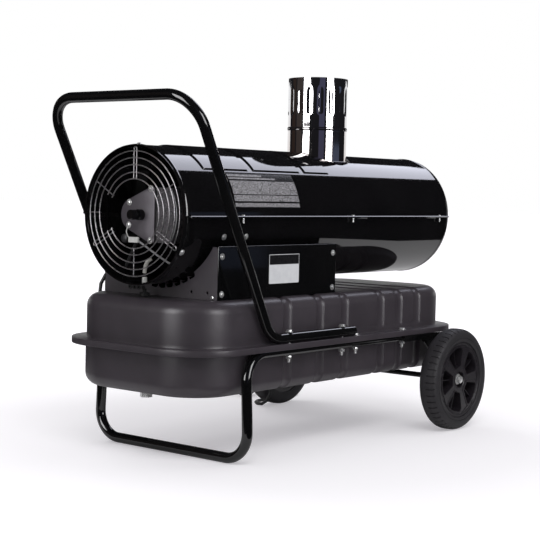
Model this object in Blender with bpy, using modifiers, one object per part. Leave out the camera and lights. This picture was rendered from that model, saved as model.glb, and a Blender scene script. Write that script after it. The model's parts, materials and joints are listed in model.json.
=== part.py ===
"""Indirect fired diesel air heater on a wheeled frame.

Metres, +Z up. +X runs along the body from the intake end to the hot air outlet, the operator's
panel faces +Y, and the origin lies on the floor under the middle of the heater.
"""

import math

import bmesh
import bpy
from mathutils import Matrix, Vector

# Clearances that the whole part shares
GAP = 0.0003
OVERRUN = 0.004
SHARP_ANGLE = math.radians(50)
SPIN_MERGE = 0.00005
WELD_MERGE = 0.00001

# Body: two half shells that meet at the height of the body's axis
BODY_LENGTH = 0.835
BODY_RADIUS = 0.1225
SHELL_WALL = 0.0015
SEAM_LIP = 0.009
PAD_RISE = 0.0025
PAD_STARTS = (0.076, 0.212, 0.364)
PAD_ENDS = (0.198, 0.350, 0.442)
PAD_EDGE_DEG = 45

# Flue pipe over the stub of the combustion chamber
FLUE_FROM_LEFT = 0.5223
FLUE_RADIUS = 0.0599
FLUE_WALL = 0.001
FLUE_TOP_OVER_AXIS = 0.2744
FLUE_HOLE_CLEARANCE = 0.007
FLUE_SUNK = 0.022
CRIMP_LENGTH = 0.075
CRIMP_DEPTH = 0.003
CRIMP_FLUTES = 17
CRIMP_EASE = 0.008
BEAD_FROM_TOP = 0.1015
BEAD_HALF_WIDTH = 0.003
BEAD_RISE = 0.0014

# Fuel tank: an upper and a lower bowl with a flange between them
TANK_BOTTOM_Z = 0.1217
TANK_LOWER_DEPTH = 0.0853
TANK_UPPER_HEIGHT = 0.0805
TANK_LENGTH = 0.8053
TANK_WIDTH = 0.3254
TANK_AHEAD_OF_BODY = 0.006
TANK_CORNER = 0.093
TANK_FILLET = 0.022
TANK_WALL = 0.0015
FLANGE_END_REACH = 0.0187
FLANGE_SIDE_REACH = 0.0251
LIP_DEPTH = 0.0108
LOWER_FLANGE_INSET = 0.003
GROOVE_START_SHARES = (0.284, 0.405, 0.502, 0.651, 0.731, 0.812)
GROOVE_WIDTH = 0.026
GROOVE_SLOPE = 0.005
GROOVE_DEPTH = 0.003
GROOVE_END = 0.006
BODY_OVER_TANK = 0.0223

# Frame and handle, bent from one size of tube
TUBE_RADIUS = 0.0095
LEG_FROM_LEFT = 0.1049
LEG_SPLAY = 0.0081
LEG_BEND = 0.048
FOOT_BEND = 0.048
RAIL_END_FROM_LEFT = 0.602
HANDLE_REACH = 0.0504
GRIP_Z = 0.6355
GRIP_BEND = 0.062
HANDLE_FOOT_FROM_LEFT = 0.1699
HANDLE_FOOT_BEND = 0.048
HANDLE_END_FROM_LEFT = 0.4188
HANDLE_BOLTS_FROM_LEFT = (0.2235, 0.384)
FLANGE_BOLTS_FROM_LEFT = (0.4285, 0.588)
BOLT_RADIUS = 0.003
BOLT_HEAD_RADIUS = 0.0058
BOLT_HEAD_HEIGHT = 0.0042
BOLT_NUT_HEIGHT = 0.005
BOLT_TAIL = 0.007

# Wheels on a straight axle
AXLE_FROM_LEFT = 0.7028
AXLE_RADIUS = 0.0055
WHEEL_RADIUS = 0.1033
WHEEL_WIDTH = 0.0393
WHEEL_CLEARANCE = 0.021
TYRE_DEPTH = 0.0264
TYRE_SHOULDER = 0.006
RIM_INSET = 0.004
RIM_WALL = 0.006
RIM_POCKETS = 5
POCKET_DEPTH = 0.0115
POCKET_INNER_RADIUS = 0.027
SPOKE_WIDTH = 0.015
HUB_RADIUS = 0.0175
HUB_RECESS = 0.006
HUB_PROUD = 0.006
AXLE_NUT_RADIUS = 0.0082
AXLE_NUT_HEIGHT = 0.008
AXLE_WASHER_RADIUS = 0.0112
AXLE_WASHER_THICKNESS = 0.0016
BRACKET_THICKNESS = 0.003
BRACKET_AHEAD = 0.125
BRACKET_SLOPE_AHEAD = 0.0565
BRACKET_SHOULDER = 0.0437
BRACKET_BEHIND = 0.06
BRACKET_EYE = 0.015
EYE_ROUND_SHARE = 0.9

# Control box between tank and body
BOX_FROM_LEFT = 0.0689
BOX_LENGTH = 0.3396
BOX_HALF_WIDTH = 0.1393
BOX_HEIGHT = 0.092
BOX_SHEET = 0.0015
BOX_CORNER = 0.0055
BOX_TOP_FLANGE = 0.012
SADDLE_HALF_WIDTH = 0.127
CABLE_HOLES = 4
CABLE_HOLE_RADIUS = 0.003
CABLE_HOLE_PITCH = 0.0111
CABLE_HOLES_FROM_MIDDLE = 0.0396
CABLE_HOLE_RISE = 0.012
RIVET_HOLE_RADIUS = 0.002
RIVET_HOLES_FROM_MIDDLE = (0.0777, 0.115)

# Fan, motor and pump, on the body's axis
GUARD_FROM_LEFT = 0.003
GUARD_WIRE = 0.0011
GUARD_RING_RADII = (0.1117, 0.0996, 0.0871, 0.0737, 0.0621)
GUARD_OPEN_RINGS = 2
GUARD_OPEN_HALF_DEG = 26
GUARD_PAIR_HALF = 0.0032
SPOKE_LAYER_SHARE = 1.2
PUMP_COVER_FROM_LEFT = 0.02
PUMP_COVER_THICKNESS = 0.0025
PUMP_NEAR_EDGE = -0.031
PUMP_HALF_HEIGHT = 0.0485
PUMP_SHOULDER = 0.009
PUMP_APEX_REACH = 0.049
PUMP_APEX_RADIUS = 0.028
PUMP_BODY_INSET = 0.0015
PUMP_LENGTH = 0.031
FILTER_RADIUS = 0.081
FILTER_HALF_HEIGHT = 0.047
FILTER_LENGTH = 0.026
KNOB_BASE_RADIUS = 0.0095
KNOB_BASE_LENGTH = 0.011
KNOB_NECK_RADIUS = 0.0055
KNOB_NECK_LENGTH = 0.004
KNOB_GRIP_RADIUS = 0.0088
KNOB_GRIP_LENGTH = 0.013
KNOB_STUD_RADIUS = 0.003
KNOB_STUD_DEPTH = 0.008
MOTOR_RADIUS = 0.045
MOTOR_LENGTH = 0.118
MOTOR_ARM_SHARE = 0.16
MOTOR_BRACKET_SHARE = 0.6
SHAFT_RADIUS = 0.004
SHAFT_IN_MOTOR = 0.05
SHAFT_IN_HUB_SHARE = 0.8
FAN_FROM_LEFT = 0.2
FAN_RADIUS = 0.106
FAN_HUB_RADIUS = 0.026
FAN_HUB_LENGTH = 0.03
FAN_BLADES = 5
BLADE_SHEET = 0.0016
BLADE_RISE = 0.034
BLADE_SWEEP_DEG = 52
BLADE_ROOT_SHARE = 0.62
BLADE_LEAN = 0.25
BLADE_WASHOUT_SHARE = 0.35
BLADE_CAMBER_SHARE = 0.12

# Combustion chamber and burner
CHAMBER_FROM_LEFT = 0.33
CHAMBER_LENGTH = 0.465
CHAMBER_RADIUS = 0.092
CHAMBER_WALL = 0.0015
CHAMBER_DOME = 0.045
CHAMBER_MOUTH = 0.045
CHAMBER_FOOT_WIDTH = 0.012
CHAMBER_FEET_FROM_ENDS = 0.075
STUB_ROOT_SHARE = 0.6
BURNER_LENGTH = 0.055
BURNER_AHEAD = 0.032
BURNER_FLANGE_SHARE = 1.25
BURNER_BODY_SHARE = 0.8
NOZZLE_SHARE = 0.3
NOZZLE_CONE_SHARE = 0.42

# Power cord
CORD_RADIUS = 0.0035
GLAND_FROM_LEFT = 0.15
GLAND_Z = 0.330
GLAND_LENGTH = 0.035

# Hoses
HOSE_FROM_LEFT = 0.042
HOSE_Y = 0.01
HOSE_RADIUS = 0.0035
HOSE_BEND = 0.008
HOSE_OFF_SHELL = 0.0053
AIR_PORT_SHARE = 0.8
AIR_HOSE_DEG = -60
FUEL_PORT_SHARE = 0.35
AIR_INLET_SHARE = 0.45

# Fittings on the tank
FILLER_FROM_GAUGE = 0.12
FILLER_Y = 0.112
NECK_RADIUS = 0.022
NECK_WALL = 0.0015
NECK_HEIGHT = 0.012
STRAINER_DEPTH = 0.055
STRAINER_RIM = 0.0012
CAP_RADIUS = 0.029
CAP_HEIGHT = 0.026
CAP_WALL = 0.003
CAP_GRIPS = 6
GAUGE_FROM_BOX = 0.0715
GAUGE_HOLE = 0.012
GAUGE_FLANGE = 0.021
GAUGE_DOME = 0.015
GAUGE_DOME_HEIGHT = 0.016
GAUGE_STEM = 0.0035
GAUGE_DEPTH = 0.095
FLOAT_RADIUS = 0.0095
OUTLET_HOLE = 0.006
OUTLET_BASE = 0.009
OUTLET_RISE = 0.013
DRAIN_FROM_LEFT = 0.026
DRAIN_Y = -0.014
DRAIN_RADIUS = 0.008
SEAL_REACH_SHARE = 1.4

# Controls on the far side of the box
SWITCH_FROM_LEFT = 0.335
SWITCH_Z = 0.337
SWITCH_HALF_WIDTH = 0.0095
SWITCH_HALF_HEIGHT = 0.0135
SWITCH_BEZEL = 0.0025
SWITCH_DEPTH = 0.022
ROCKER_THROW_DEG = 9
ROCKER_FOOT_SHARE = 0.7
KNOB_FROM_LEFT = 0.275
KNOB_RADIUS = 0.019
KNOB_HEIGHT = 0.016
KNOB_FLUTES = 6
STAT_NECK_RADIUS = 0.0048
STAT_RADIUS = 0.016
STAT_DEPTH = 0.024
STEM_RADIUS = 0.003
RESET_FROM_LEFT = 0.225
RESET_SLEEVE_RADIUS = 0.0075
RESET_BEZEL = 0.0095
RESET_BUTTON_RADIUS = 0.005
RESET_TRAVEL = 0.0025
RESET_PROUD = 0.004
LAMP_FROM_LEFT = 0.193
LAMP_RADIUS = 0.0045
GLAND_NECK_RADIUS = 0.0075
GLAND_NUT_RADIUS = 0.012
FLUTE_DEPTH_SHARE = 0.8
LAMP_RIM_SHARE = 1.3
GLAND_MOUTH_SHARE = 1.25
GLAND_TAPER_SHARE = 0.8

# Electrical parts in the box
TRANSFORMER_SIZE = (0.085, 0.05, 0.05)
TRANSFORMER_FROM_BOX = 0.04
BOARD_SIZE = (0.12, 0.0016, 0.055)
BOARD_FROM_PANEL = 0.036
POST_RADIUS = 0.006
BOARD_AHEAD_SHARE = 0.8

# Route of the power cord, its coil and its plug
CORD_ROUTE = (
    (-0.2423, 0.1746, 0.3300), (-0.2421, 0.1820, 0.3300), (-0.2412, 0.1935, 0.3290),
    (-0.2400, 0.2070, 0.3240), (-0.2405, 0.2180, 0.3150), (-0.2440, 0.2255, 0.3030),
    (-0.2490, 0.2290, 0.2890), (-0.2510, 0.2280, 0.2745), (-0.2460, 0.2235, 0.2610),
    (-0.2350, 0.2165, 0.2500), (-0.2180, 0.2090, 0.2420), (-0.1950, 0.2010, 0.2368),
    (-0.1680, 0.1925, 0.2340), (-0.1420, 0.1825, 0.2324), (-0.1200, 0.1735, 0.2306),
    (-0.1000, 0.1680, 0.2284), (-0.0700, 0.1664, 0.2270), (-0.0100, 0.1664, 0.2270),
    (0.0280, 0.1664, 0.2268), (0.0560, 0.1664, 0.2175), (0.0820, 0.1664, 0.2112),
    (0.1170, 0.1664, 0.2108), (0.1520, 0.1664, 0.2108), (0.1632, 0.1683, 0.2108),
    (0.1733, 0.1739, 0.2108), (0.1808, 0.1824, 0.2108), (0.1884, 0.1910, 0.2108),
    (0.1985, 0.1966, 0.2108), (0.2117, 0.1985, 0.2108), (0.2248, 0.1985, 0.2087),
    (0.2356, 0.1985, 0.2017), (0.2423, 0.1985, 0.1917), (0.2447, 0.1985, 0.1780),
    (0.2447, 0.1985, 0.1450), (0.2447, 0.1985, 0.1000), (0.2447, 0.1985, 0.0600),
    (0.2447, 0.1992, 0.0380), (0.2447, 0.2055, 0.0190), (0.2450, 0.2170, 0.0075),
    (0.2468, 0.2310, 0.0040), (0.2540, 0.2465, 0.0038), (0.2700, 0.2610, 0.0038),
    (0.2930, 0.2665, 0.0038), (0.3400, 0.2670, 0.0038), (0.4077, 0.2670, 0.0038),
)
CORD_POINTS = 56
COIL_CENTRE = (0.4077, 0.3120)
COIL_RADIUS = 0.045
COIL_PITCH = 0.0075
COIL_TOP_PITCH = 0.0087
COIL_TURNS = 3.5
COIL_LAYER_TURNS = 2
COIL_CLIMB_TURNS = 0.25
COIL_POINTS_A_TURN = 24
PLUG_RADIUS = 0.0175
PLUG_LENGTH = 0.034
PLUG_TAPER = 0.05
PLUG_NECK_SHARE = 1.6
PIN_RADIUS = 0.0024
PIN_LENGTH = 0.019
PIN_HALF_PITCH = 0.0095
SMOOTH_STEPS = 20


def from_left(distance):
    """The x of a place that lies this far along the body from its intake rim."""
    return BODY_LEFT + distance


BODY_LEFT = (HANDLE_REACH - BODY_LENGTH) / 2
FLANGE_Z = TANK_BOTTOM_Z + TANK_LOWER_DEPTH
TANK_TOP_Z = FLANGE_Z + TANK_UPPER_HEIGHT
TANK_LEFT = BODY_LEFT - TANK_AHEAD_OF_BODY
TANK_MIDDLE = TANK_LEFT + TANK_LENGTH / 2
AXIS_Z = TANK_TOP_Z + BODY_OVER_TANK + BODY_RADIUS
FLANGE_HALF_WIDTH = TANK_WIDTH / 2 + FLANGE_SIDE_REACH
RAIL_Y = FLANGE_HALF_WIDTH - TANK_WALL - GAP - TUBE_RADIUS
LOWER_FLANGE_TOP = FLANGE_Z - TANK_WALL - GAP
RAIL_Z = LOWER_FLANGE_TOP - TANK_WALL - GAP - TUBE_RADIUS
HANDLE_Z = FLANGE_Z + GAP + TUBE_RADIUS
BRACKET_Y = RAIL_Y + TUBE_RADIUS + GAP + BRACKET_THICKNESS / 2
AXLE_X = from_left(AXLE_FROM_LEFT)
WHEEL_INNER_Y = FLANGE_HALF_WIDTH + WHEEL_CLEARANCE
WHEEL_OUTER_Y = WHEEL_INNER_Y + WHEEL_WIDTH
FLUE_X = from_left(FLUE_FROM_LEFT)
BOX_LEFT = from_left(BOX_FROM_LEFT)
BOX_RIGHT = BOX_LEFT + BOX_LENGTH
BOX_FLOOR = TANK_TOP_Z + GAP
BOX_TOP = BOX_FLOOR + BOX_HEIGHT
SHELL_INNER = BODY_RADIUS - SHELL_WALL
HOSE_X = from_left(HOSE_FROM_LEFT)
GAUGE_X = BOX_RIGHT + GAUGE_FROM_BOX
FILLER_X = GAUGE_X + FILLER_FROM_GAUGE
DRAIN_X = from_left(DRAIN_FROM_LEFT)
SWITCH_X = from_left(SWITCH_FROM_LEFT)
KNOB_X = from_left(KNOB_FROM_LEFT)
RESET_X = from_left(RESET_FROM_LEFT)
LAMP_X = from_left(LAMP_FROM_LEFT)
GLAND_X = from_left(GLAND_FROM_LEFT)

for old_object in list(bpy.data.objects):
    bpy.data.objects.remove(old_object)

parts = bpy.data.collections.new("diesel_air_heater")
cutters = bpy.data.collections.new("cutters")
cutters.hide_render = True
bpy.context.scene.collection.children.link(parts)
bpy.context.scene.collection.children.link(cutters)


def look(name, color, roughness, metallic=0.0):
    material = bpy.data.materials.new(name)
    material.use_nodes = True
    shader = material.node_tree.nodes["Principled BSDF"]
    shader.inputs["Base Color"].default_value = (*color, 1)
    shader.inputs["Roughness"].default_value = roughness
    shader.inputs["Metallic"].default_value = metallic
    material.diffuse_color = (*color, 1)
    return material


GLOSS_BLACK = look("gloss_black_paint", (0.01, 0.01, 0.012), 0.12)
TANK_GREY = look("satin_tank_grey", (0.045, 0.04, 0.047), 0.42)
TUBE_BLACK = look("black_tube_paint", (0.008, 0.008, 0.009), 0.2)
BOX_GREY = look("satin_box_grey", (0.07, 0.063, 0.07), 0.4)
STAINLESS = look("mirror_stainless", (0.62, 0.62, 0.64), 0.08, 1.0)
ZINC = look("zinc_plate", (0.6, 0.6, 0.6), 0.3, 1.0)
RUBBER = look("tyre_rubber", (0.02, 0.02, 0.022), 0.75)
MOULDED_BLACK = look("moulded_black", (0.015, 0.015, 0.016), 0.45)
GUARD_METAL = look("plated_wire", (0.5, 0.49, 0.5), 0.3, 1.0)
DARK_METAL = look("dark_casting", (0.12, 0.12, 0.13), 0.5, 0.7)
HEAT_STEEL = look("heat_steel", (0.3, 0.28, 0.26), 0.45, 1.0)
FILTER_FELT = look("filter_felt", (0.16, 0.15, 0.16), 0.9)
RED_LENS = look("red_lens", (0.6, 0.03, 0.02), 0.25)
CLEAR_HOSE = look("clear_hose", (0.75, 0.72, 0.62), 0.3)
CIRCUIT_GREEN = look("circuit_green", (0.03, 0.2, 0.08), 0.5)


def add_object(name, mesh, material, helper=False):
    """Links a new object: a part when it has a material to show, otherwise a hidden helper."""
    made = bpy.data.objects.new(name, mesh)
    made.data.name = name
    if helper:
        cutters.objects.link(made)
        made.hide_render = True
        made.display_type = "WIRE"
    else:
        parts.objects.link(made)
        made.data.materials.clear()
        made.data.materials.append(material)
    return made


def mesh_from(shape):
    mesh = bpy.data.meshes.new("shape")
    bmesh.ops.recalc_face_normals(shape, faces=shape.faces)
    shape.to_mesh(mesh)
    shape.free()
    return mesh


def block(name, low, high, material=None, corner=0, corner_steps=2):
    """A box between two corners, with its long edges rounded when it has a corner radius."""
    shape = bmesh.new()
    bmesh.ops.create_cube(shape, size=1)
    low, high = Vector(low), Vector(high)
    bmesh.ops.scale(shape, vec=high - low, verts=shape.verts)
    if corner:
        bmesh.ops.bevel(shape, geom=shape.edges[:], offset=corner, segments=corner_steps,
                        profile=0.5, affect="EDGES")
    made = add_object(name, mesh_from(shape), material, material is None)
    made.location = (low + high) / 2
    return made


def rod(name, start, end, radius, sides=12, material=None):
    """A straight round bar from one point to another."""
    start, end = Vector(start), Vector(end)
    shape = bmesh.new()
    bmesh.ops.create_cone(shape, cap_ends=True, segments=sides, radius1=radius, radius2=radius,
                          depth=(end - start).length)
    made = add_object(name, mesh_from(shape), material, material is None)
    made.location = (start + end) / 2
    made.rotation_euler = (end - start).to_track_quat("Z", "Y").to_euler()
    return made


AXIS_TURNS = {"X": (0, math.pi / 2, 0), "Y": (-math.pi / 2, 0, 0), "Z": (0, 0, 0),
              "-Y": (math.pi / 2, 0, 0), "-Z": (math.pi, 0, 0)}


def turned(name, profile, origin, axis="Z", steps=32, material=None):
    """A profile of (radius, height) points spun about an axis through the origin given."""
    radii = [point[0] for point in profile]
    heights = [point[1] for point in profile]
    count = len(profile)
    area = sum(radii[i] * heights[(i + 1) % count] - radii[(i + 1) % count] * heights[i]
               for i in range(count))
    points = profile if area < 0 else profile[::-1]
    on_axis = [number for number, point in enumerate(points) if point[0] == 0]
    open_on_axis = len(on_axis) == 2
    if open_on_axis and on_axis[1] == on_axis[0] + 1:
        points = points[on_axis[1]:] + points[:on_axis[1]]
    shape = bmesh.new()
    verts = [shape.verts.new((radius, 0, height)) for radius, height in points]
    for first, second in zip(verts, verts[1:]):
        shape.edges.new((first, second))
    if not open_on_axis:
        shape.edges.new((verts[-1], verts[0]))
    mesh = bpy.data.meshes.new("profile")
    shape.to_mesh(mesh)
    shape.free()
    made = add_object(name, mesh, material, material is None)
    made.location = origin
    made.rotation_euler = AXIS_TURNS[axis]
    spin = made.modifiers.new("spin", "SCREW")
    spin.steps = steps
    spin.render_steps = steps
    spin.use_merge_vertices = True
    spin.merge_threshold = SPIN_MERGE
    spin.use_smooth_shade = True
    return made


def to_mesh(source, material):
    """Turns a curve object into a mesh object with its caps welded, in the curve's place."""
    bpy.context.view_layer.update()
    graph = bpy.context.evaluated_depsgraph_get()
    mesh = bpy.data.meshes.new_from_object(source.evaluated_get(graph))
    shape = bmesh.new()
    shape.from_mesh(mesh)
    bmesh.ops.remove_doubles(shape, verts=shape.verts, dist=WELD_MERGE)
    bmesh.ops.recalc_face_normals(shape, faces=shape.faces)
    shape.to_mesh(mesh)
    shape.free()
    mesh.shade_smooth()
    mesh.set_sharp_from_angle(angle=SHARP_ANGLE)
    name = source.name
    matrix = source.matrix_world.copy()
    bpy.data.objects.remove(source)
    made = add_object(name, mesh, material, material is None)
    made.matrix_world = matrix
    return made


def tube(name, points, radius, material=None, resolution=2, cyclic=False, radius_shares=()):
    """A round wire or tube through the points, with closed ends."""
    curve = bpy.data.curves.new(name, "CURVE")
    curve.dimensions = "3D"
    curve.bevel_depth = radius
    curve.bevel_resolution = resolution
    curve.use_fill_caps = not cyclic
    spline = curve.splines.new("POLY")
    spline.points.add(len(points) - 1)
    for place, point in zip(spline.points, points):
        place.co = (*point, 1)
    for place, share in zip(spline.points, radius_shares):
        place.radius = share
    spline.use_cyclic_u = cyclic
    made = bpy.data.objects.new(name + "_path", curve)
    cutters.objects.link(made)
    made.name = name
    return to_mesh(made, material)


def plate(name, outlines, thickness, origin, normal="Z", material=None):
    """A flat sheet: the first outline less the others, in the plane square to its normal."""
    curve = bpy.data.curves.new(name, "CURVE")
    curve.dimensions = "2D"
    curve.fill_mode = "BOTH"
    curve.extrude = thickness / 2
    for outline in outlines:
        spline = curve.splines.new("POLY")
        spline.points.add(len(outline) - 1)
        for place, point in zip(spline.points, outline):
            place.co = (point[0], point[1], 0, 1)
        spline.use_cyclic_u = True
    made = bpy.data.objects.new(name, curve)
    cutters.objects.link(made)
    # With normal X the outline's first number runs along +Y and its second along +Z
    turns = {"Z": Matrix.Identity(4), "X": Matrix(((0, 0, 1, 0), (1, 0, 0, 0), (0, 1, 0, 0),
                                                   (0, 0, 0, 1))),
             "Y": Matrix(((1, 0, 0, 0), (0, 0, -1, 0), (0, 1, 0, 0), (0, 0, 0, 1)))}
    made.matrix_world = Matrix.Translation(origin) @ turns[normal]
    return to_mesh(made, material)


def combine(target, operation, tools):
    """Adds one live Boolean to the target for each tool."""
    for tool in tools:
        boolean = target.modifiers.new(operation.lower(), "BOOLEAN")
        boolean.operation = operation
        boolean.object = tool
        boolean.solver = "EXACT"
    return target


def arc(middle, radius, start_deg, end_deg, steps):
    """Points on an arc in a plane, both ends included."""
    angles = [math.radians(start_deg + (end_deg - start_deg) * step / steps)
              for step in range(steps + 1)]
    return [(middle[0] + radius * math.cos(a), middle[1] + radius * math.sin(a)) for a in angles]


def clear_of(radius, sides):
    """The corner radius of a many-sided hole whose flats clear a round piece of this radius."""
    return (radius + GAP) / math.cos(math.pi / sides)


def inside(radius, sides):
    """The largest radius that clears the flats of a many-sided hole of this corner radius."""
    return radius * math.cos(math.pi / sides) - GAP


def circle(middle, radius, steps, first_deg=0):
    return arc(middle, radius, first_deg, first_deg + 360, steps)[:-1]


def bent(corners, bends, steps=6):
    """A path through 2D or 3D corners, with an arc of the given radius at each inner corner."""
    places = [Vector(corner) for corner in corners]
    path = [places[0]]
    for before, corner, after, radius in zip(places, places[1:], places[2:], bends):
        come = (before - corner).normalized()
        leave = (after - corner).normalized()
        half = come.angle(leave) / 2
        middle = corner + (come + leave).normalized() * (radius / math.sin(half))
        start = corner + come * (radius / math.tan(half)) - middle
        end = corner + leave * (radius / math.tan(half)) - middle
        sweep = start.angle(end)
        for step in range(steps + 1):
            share = step / steps
            spot = (start * math.sin((1 - share) * sweep) + end * math.sin(share * sweep)) / math.sin(sweep)
            path.append(middle + spot)
    path.append(places[-1])
    return path


def rounded(corners, radii, steps=4):
    """A closed flat outline with its corners rounded."""
    loop = [Vector((*corner, 0)) for corner in corners]
    middle = (loop[-1] + loop[0]) / 2
    path = bent([middle, *loop, middle], radii, steps)
    return [(point.x, point.y) for point in path[1:-1]]


def make_shells():
    lip = BODY_RADIUS + SEAM_LIP
    half_gap = GAP / 2
    for name, side in (("upper_shell", 1), ("lower_shell", -1)):
        outer = [(y, side * z) for y, z in arc((0, 0), BODY_RADIUS, 0, 180, 24)]
        inner = [(y, side * z) for y, z in arc((0, 0), SHELL_INNER, 180, 0, 24)]
        right_lip = [(lip, side * half_gap), (lip, side * (half_gap + SHELL_WALL)),
                     (BODY_RADIUS, side * (half_gap + SHELL_WALL))]
        left_lip = [(-y, z) for y, z in right_lip[::-1]]
        inner_ends = [(-SHELL_INNER, side * half_gap), (SHELL_INNER, side * half_gap)]
        outline = right_lip + outer[1:-1] + left_lip + inner_ends[:1] + inner[1:-1] + inner_ends[1:]
        plate(name, [outline], BODY_LENGTH, (from_left(BODY_LENGTH / 2), 0, AXIS_Z), "X", GLOSS_BLACK)
    upper = parts.objects["upper_shell"]
    for number, (start, end) in enumerate(zip(PAD_STARTS, PAD_ENDS)):
        pad = sector(f"pad_{number}", SHELL_INNER + SHELL_WALL / 2, BODY_RADIUS + PAD_RISE, start, end)
        combine(upper, "UNION", [pad])
    flue_hole = rod("flue_hole", (FLUE_X, 0, AXIS_Z), (FLUE_X, 0, AXIS_Z + 2 * BODY_RADIUS),
                    FLUE_RADIUS + FLUE_HOLE_CLEARANCE, 24)
    combine(upper, "DIFFERENCE", [flue_hole])
    hose_hole = rod("hose_hole", (HOSE_X, HOSE_Y, TANK_TOP_Z), (HOSE_X, HOSE_Y, AXIS_Z - BODY_RADIUS / 2),
                    clear_of(HOSE_RADIUS, 10), 10)
    combine(parts.objects["lower_shell"], "DIFFERENCE", [hose_hole])


def sector(name, inner, outer, start, end):
    """A curved block over the crown of the body, between two distances along it."""
    last = 180 - PAD_EDGE_DEG
    outline = arc((0, 0), outer, PAD_EDGE_DEG, last, 10) + arc((0, 0), inner, last, PAD_EDGE_DEG, 10)
    return plate(name, [outline], end - start, (from_left((start + end) / 2), 0, AXIS_Z), "X")


def make_flue():
    top = AXIS_Z + FLUE_TOP_OVER_AXIS
    bottom = AXIS_Z + BODY_RADIUS - FLUE_SUNK
    crimp_bottom = top - CRIMP_LENGTH
    bead = top - BEAD_FROM_TOP
    inner = FLUE_RADIUS - FLUE_WALL
    valley = inner - CRIMP_DEPTH
    # Rows of height, radius and depth of flute, up the outside and down the inside
    rows = [(bottom, FLUE_RADIUS, 0), (bead - BEAD_HALF_WIDTH, FLUE_RADIUS, 0),
            (bead, FLUE_RADIUS + BEAD_RISE, 0),
            (bead + BEAD_HALF_WIDTH, FLUE_RADIUS, 0), (crimp_bottom, FLUE_RADIUS, 0),
            (crimp_bottom + CRIMP_EASE, FLUE_RADIUS, CRIMP_DEPTH), (top, FLUE_RADIUS, CRIMP_DEPTH),
            (top, valley, 0), (crimp_bottom + CRIMP_EASE, valley, 0),
            (crimp_bottom - CRIMP_EASE, inner, 0), (bottom, inner, 0)]
    count = CRIMP_FLUTES * 3
    shape = bmesh.new()
    rings = []
    for height, radius, flute in rows:
        ring = []
        for step in range(count):
            angle = 2 * math.pi * step / count
            reach = radius - flute * (1 - math.cos(CRIMP_FLUTES * angle)) / 2
            ring.append(shape.verts.new((reach * math.cos(angle), reach * math.sin(angle), height)))
        rings.append(ring)
    for low, high in zip(rings, rings[1:] + rings[:1]):
        for step in range(count):
            after = (step + 1) % count
            shape.faces.new((low[step], low[after], high[after], high[step]))
    pipe = add_object("flue_pipe", mesh_from(shape), STAINLESS)
    pipe.location = (FLUE_X, 0, 0)


def bowl(name, height, lip_depth, flange_inset, material):
    """One half of the tank, open side down at z = 0: walls, grooves, flange and turned lip."""
    shape = bmesh.new()
    bmesh.ops.create_cube(shape, size=1)
    bmesh.ops.scale(shape, vec=(TANK_LENGTH, TANK_WIDTH, height), verts=shape.verts)
    bmesh.ops.translate(shape, verts=shape.verts, vec=(0, 0, height / 2))
    upright = [edge for edge in shape.edges if edge.verts[0].co.xy == edge.verts[1].co.xy]
    bmesh.ops.bevel(shape, geom=upright, offset=TANK_CORNER, segments=4, profile=0.5, affect="EDGES")
    crown = [edge for edge in shape.edges if min(v.co.z for v in edge.verts) > height - GAP]
    bmesh.ops.bevel(shape, geom=crown, offset=TANK_FILLET, segments=2, profile=0.5, affect="EDGES")
    floor = [face for face in shape.faces if max(v.co.z for v in face.verts) < GAP]
    bmesh.ops.delete(shape, geom=floor, context="FACES")
    press_grooves(shape, height)
    # The strip under the grooves is flat again, so its slices go before the flange is drawn out of it
    spare = [edge for edge in shape.edges if not edge.is_boundary
             and max(v.co.z for v in edge.verts) < 2 * GROOVE_END
             and min(v.co.z for v in edge.verts) < GAP and edge.calc_face_angle() < math.radians(1)]
    bmesh.ops.dissolve_edges(shape, edges=spare, use_verts=True)
    straight = [vert for vert in shape.verts if vert.co.z < GAP and len(vert.link_edges) == 2]
    bmesh.ops.dissolve_verts(shape, verts=straight)
    bmesh.ops.triangulate(shape, faces=[face for face in shape.faces if len(face.verts) > 4])
    rim = [edge for edge in shape.edges if edge.is_boundary]
    reach = Vector(((TANK_LENGTH / 2 + FLANGE_END_REACH - flange_inset) / (TANK_LENGTH / 2),
                    (TANK_WIDTH / 2 + FLANGE_SIDE_REACH - flange_inset) / (TANK_WIDTH / 2), 1))
    outer = bmesh.ops.extrude_edge_only(shape, edges=rim)["geom"]
    bmesh.ops.scale(shape, vec=reach, verts=[v for v in outer if isinstance(v, bmesh.types.BMVert)])
    if lip_depth:
        edge = [e for e in outer if isinstance(e, bmesh.types.BMEdge) and e.is_boundary]
        turned_down = bmesh.ops.extrude_edge_only(shape, edges=edge)["geom"]
        bmesh.ops.translate(shape, vec=(0, 0, -lip_depth),
                            verts=[v for v in turned_down if isinstance(v, bmesh.types.BMVert)])
    mesh = mesh_from(shape)
    if max(mesh.polygons, key=lambda face: face.center.z).normal.z < 0:
        mesh.flip_normals()
    made = add_object(name, mesh, material)
    wall = made.modifiers.new("wall", "SOLIDIFY")
    wall.thickness = TANK_WALL
    wall.offset = -1
    wall.use_even_offset = True
    return made


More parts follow.
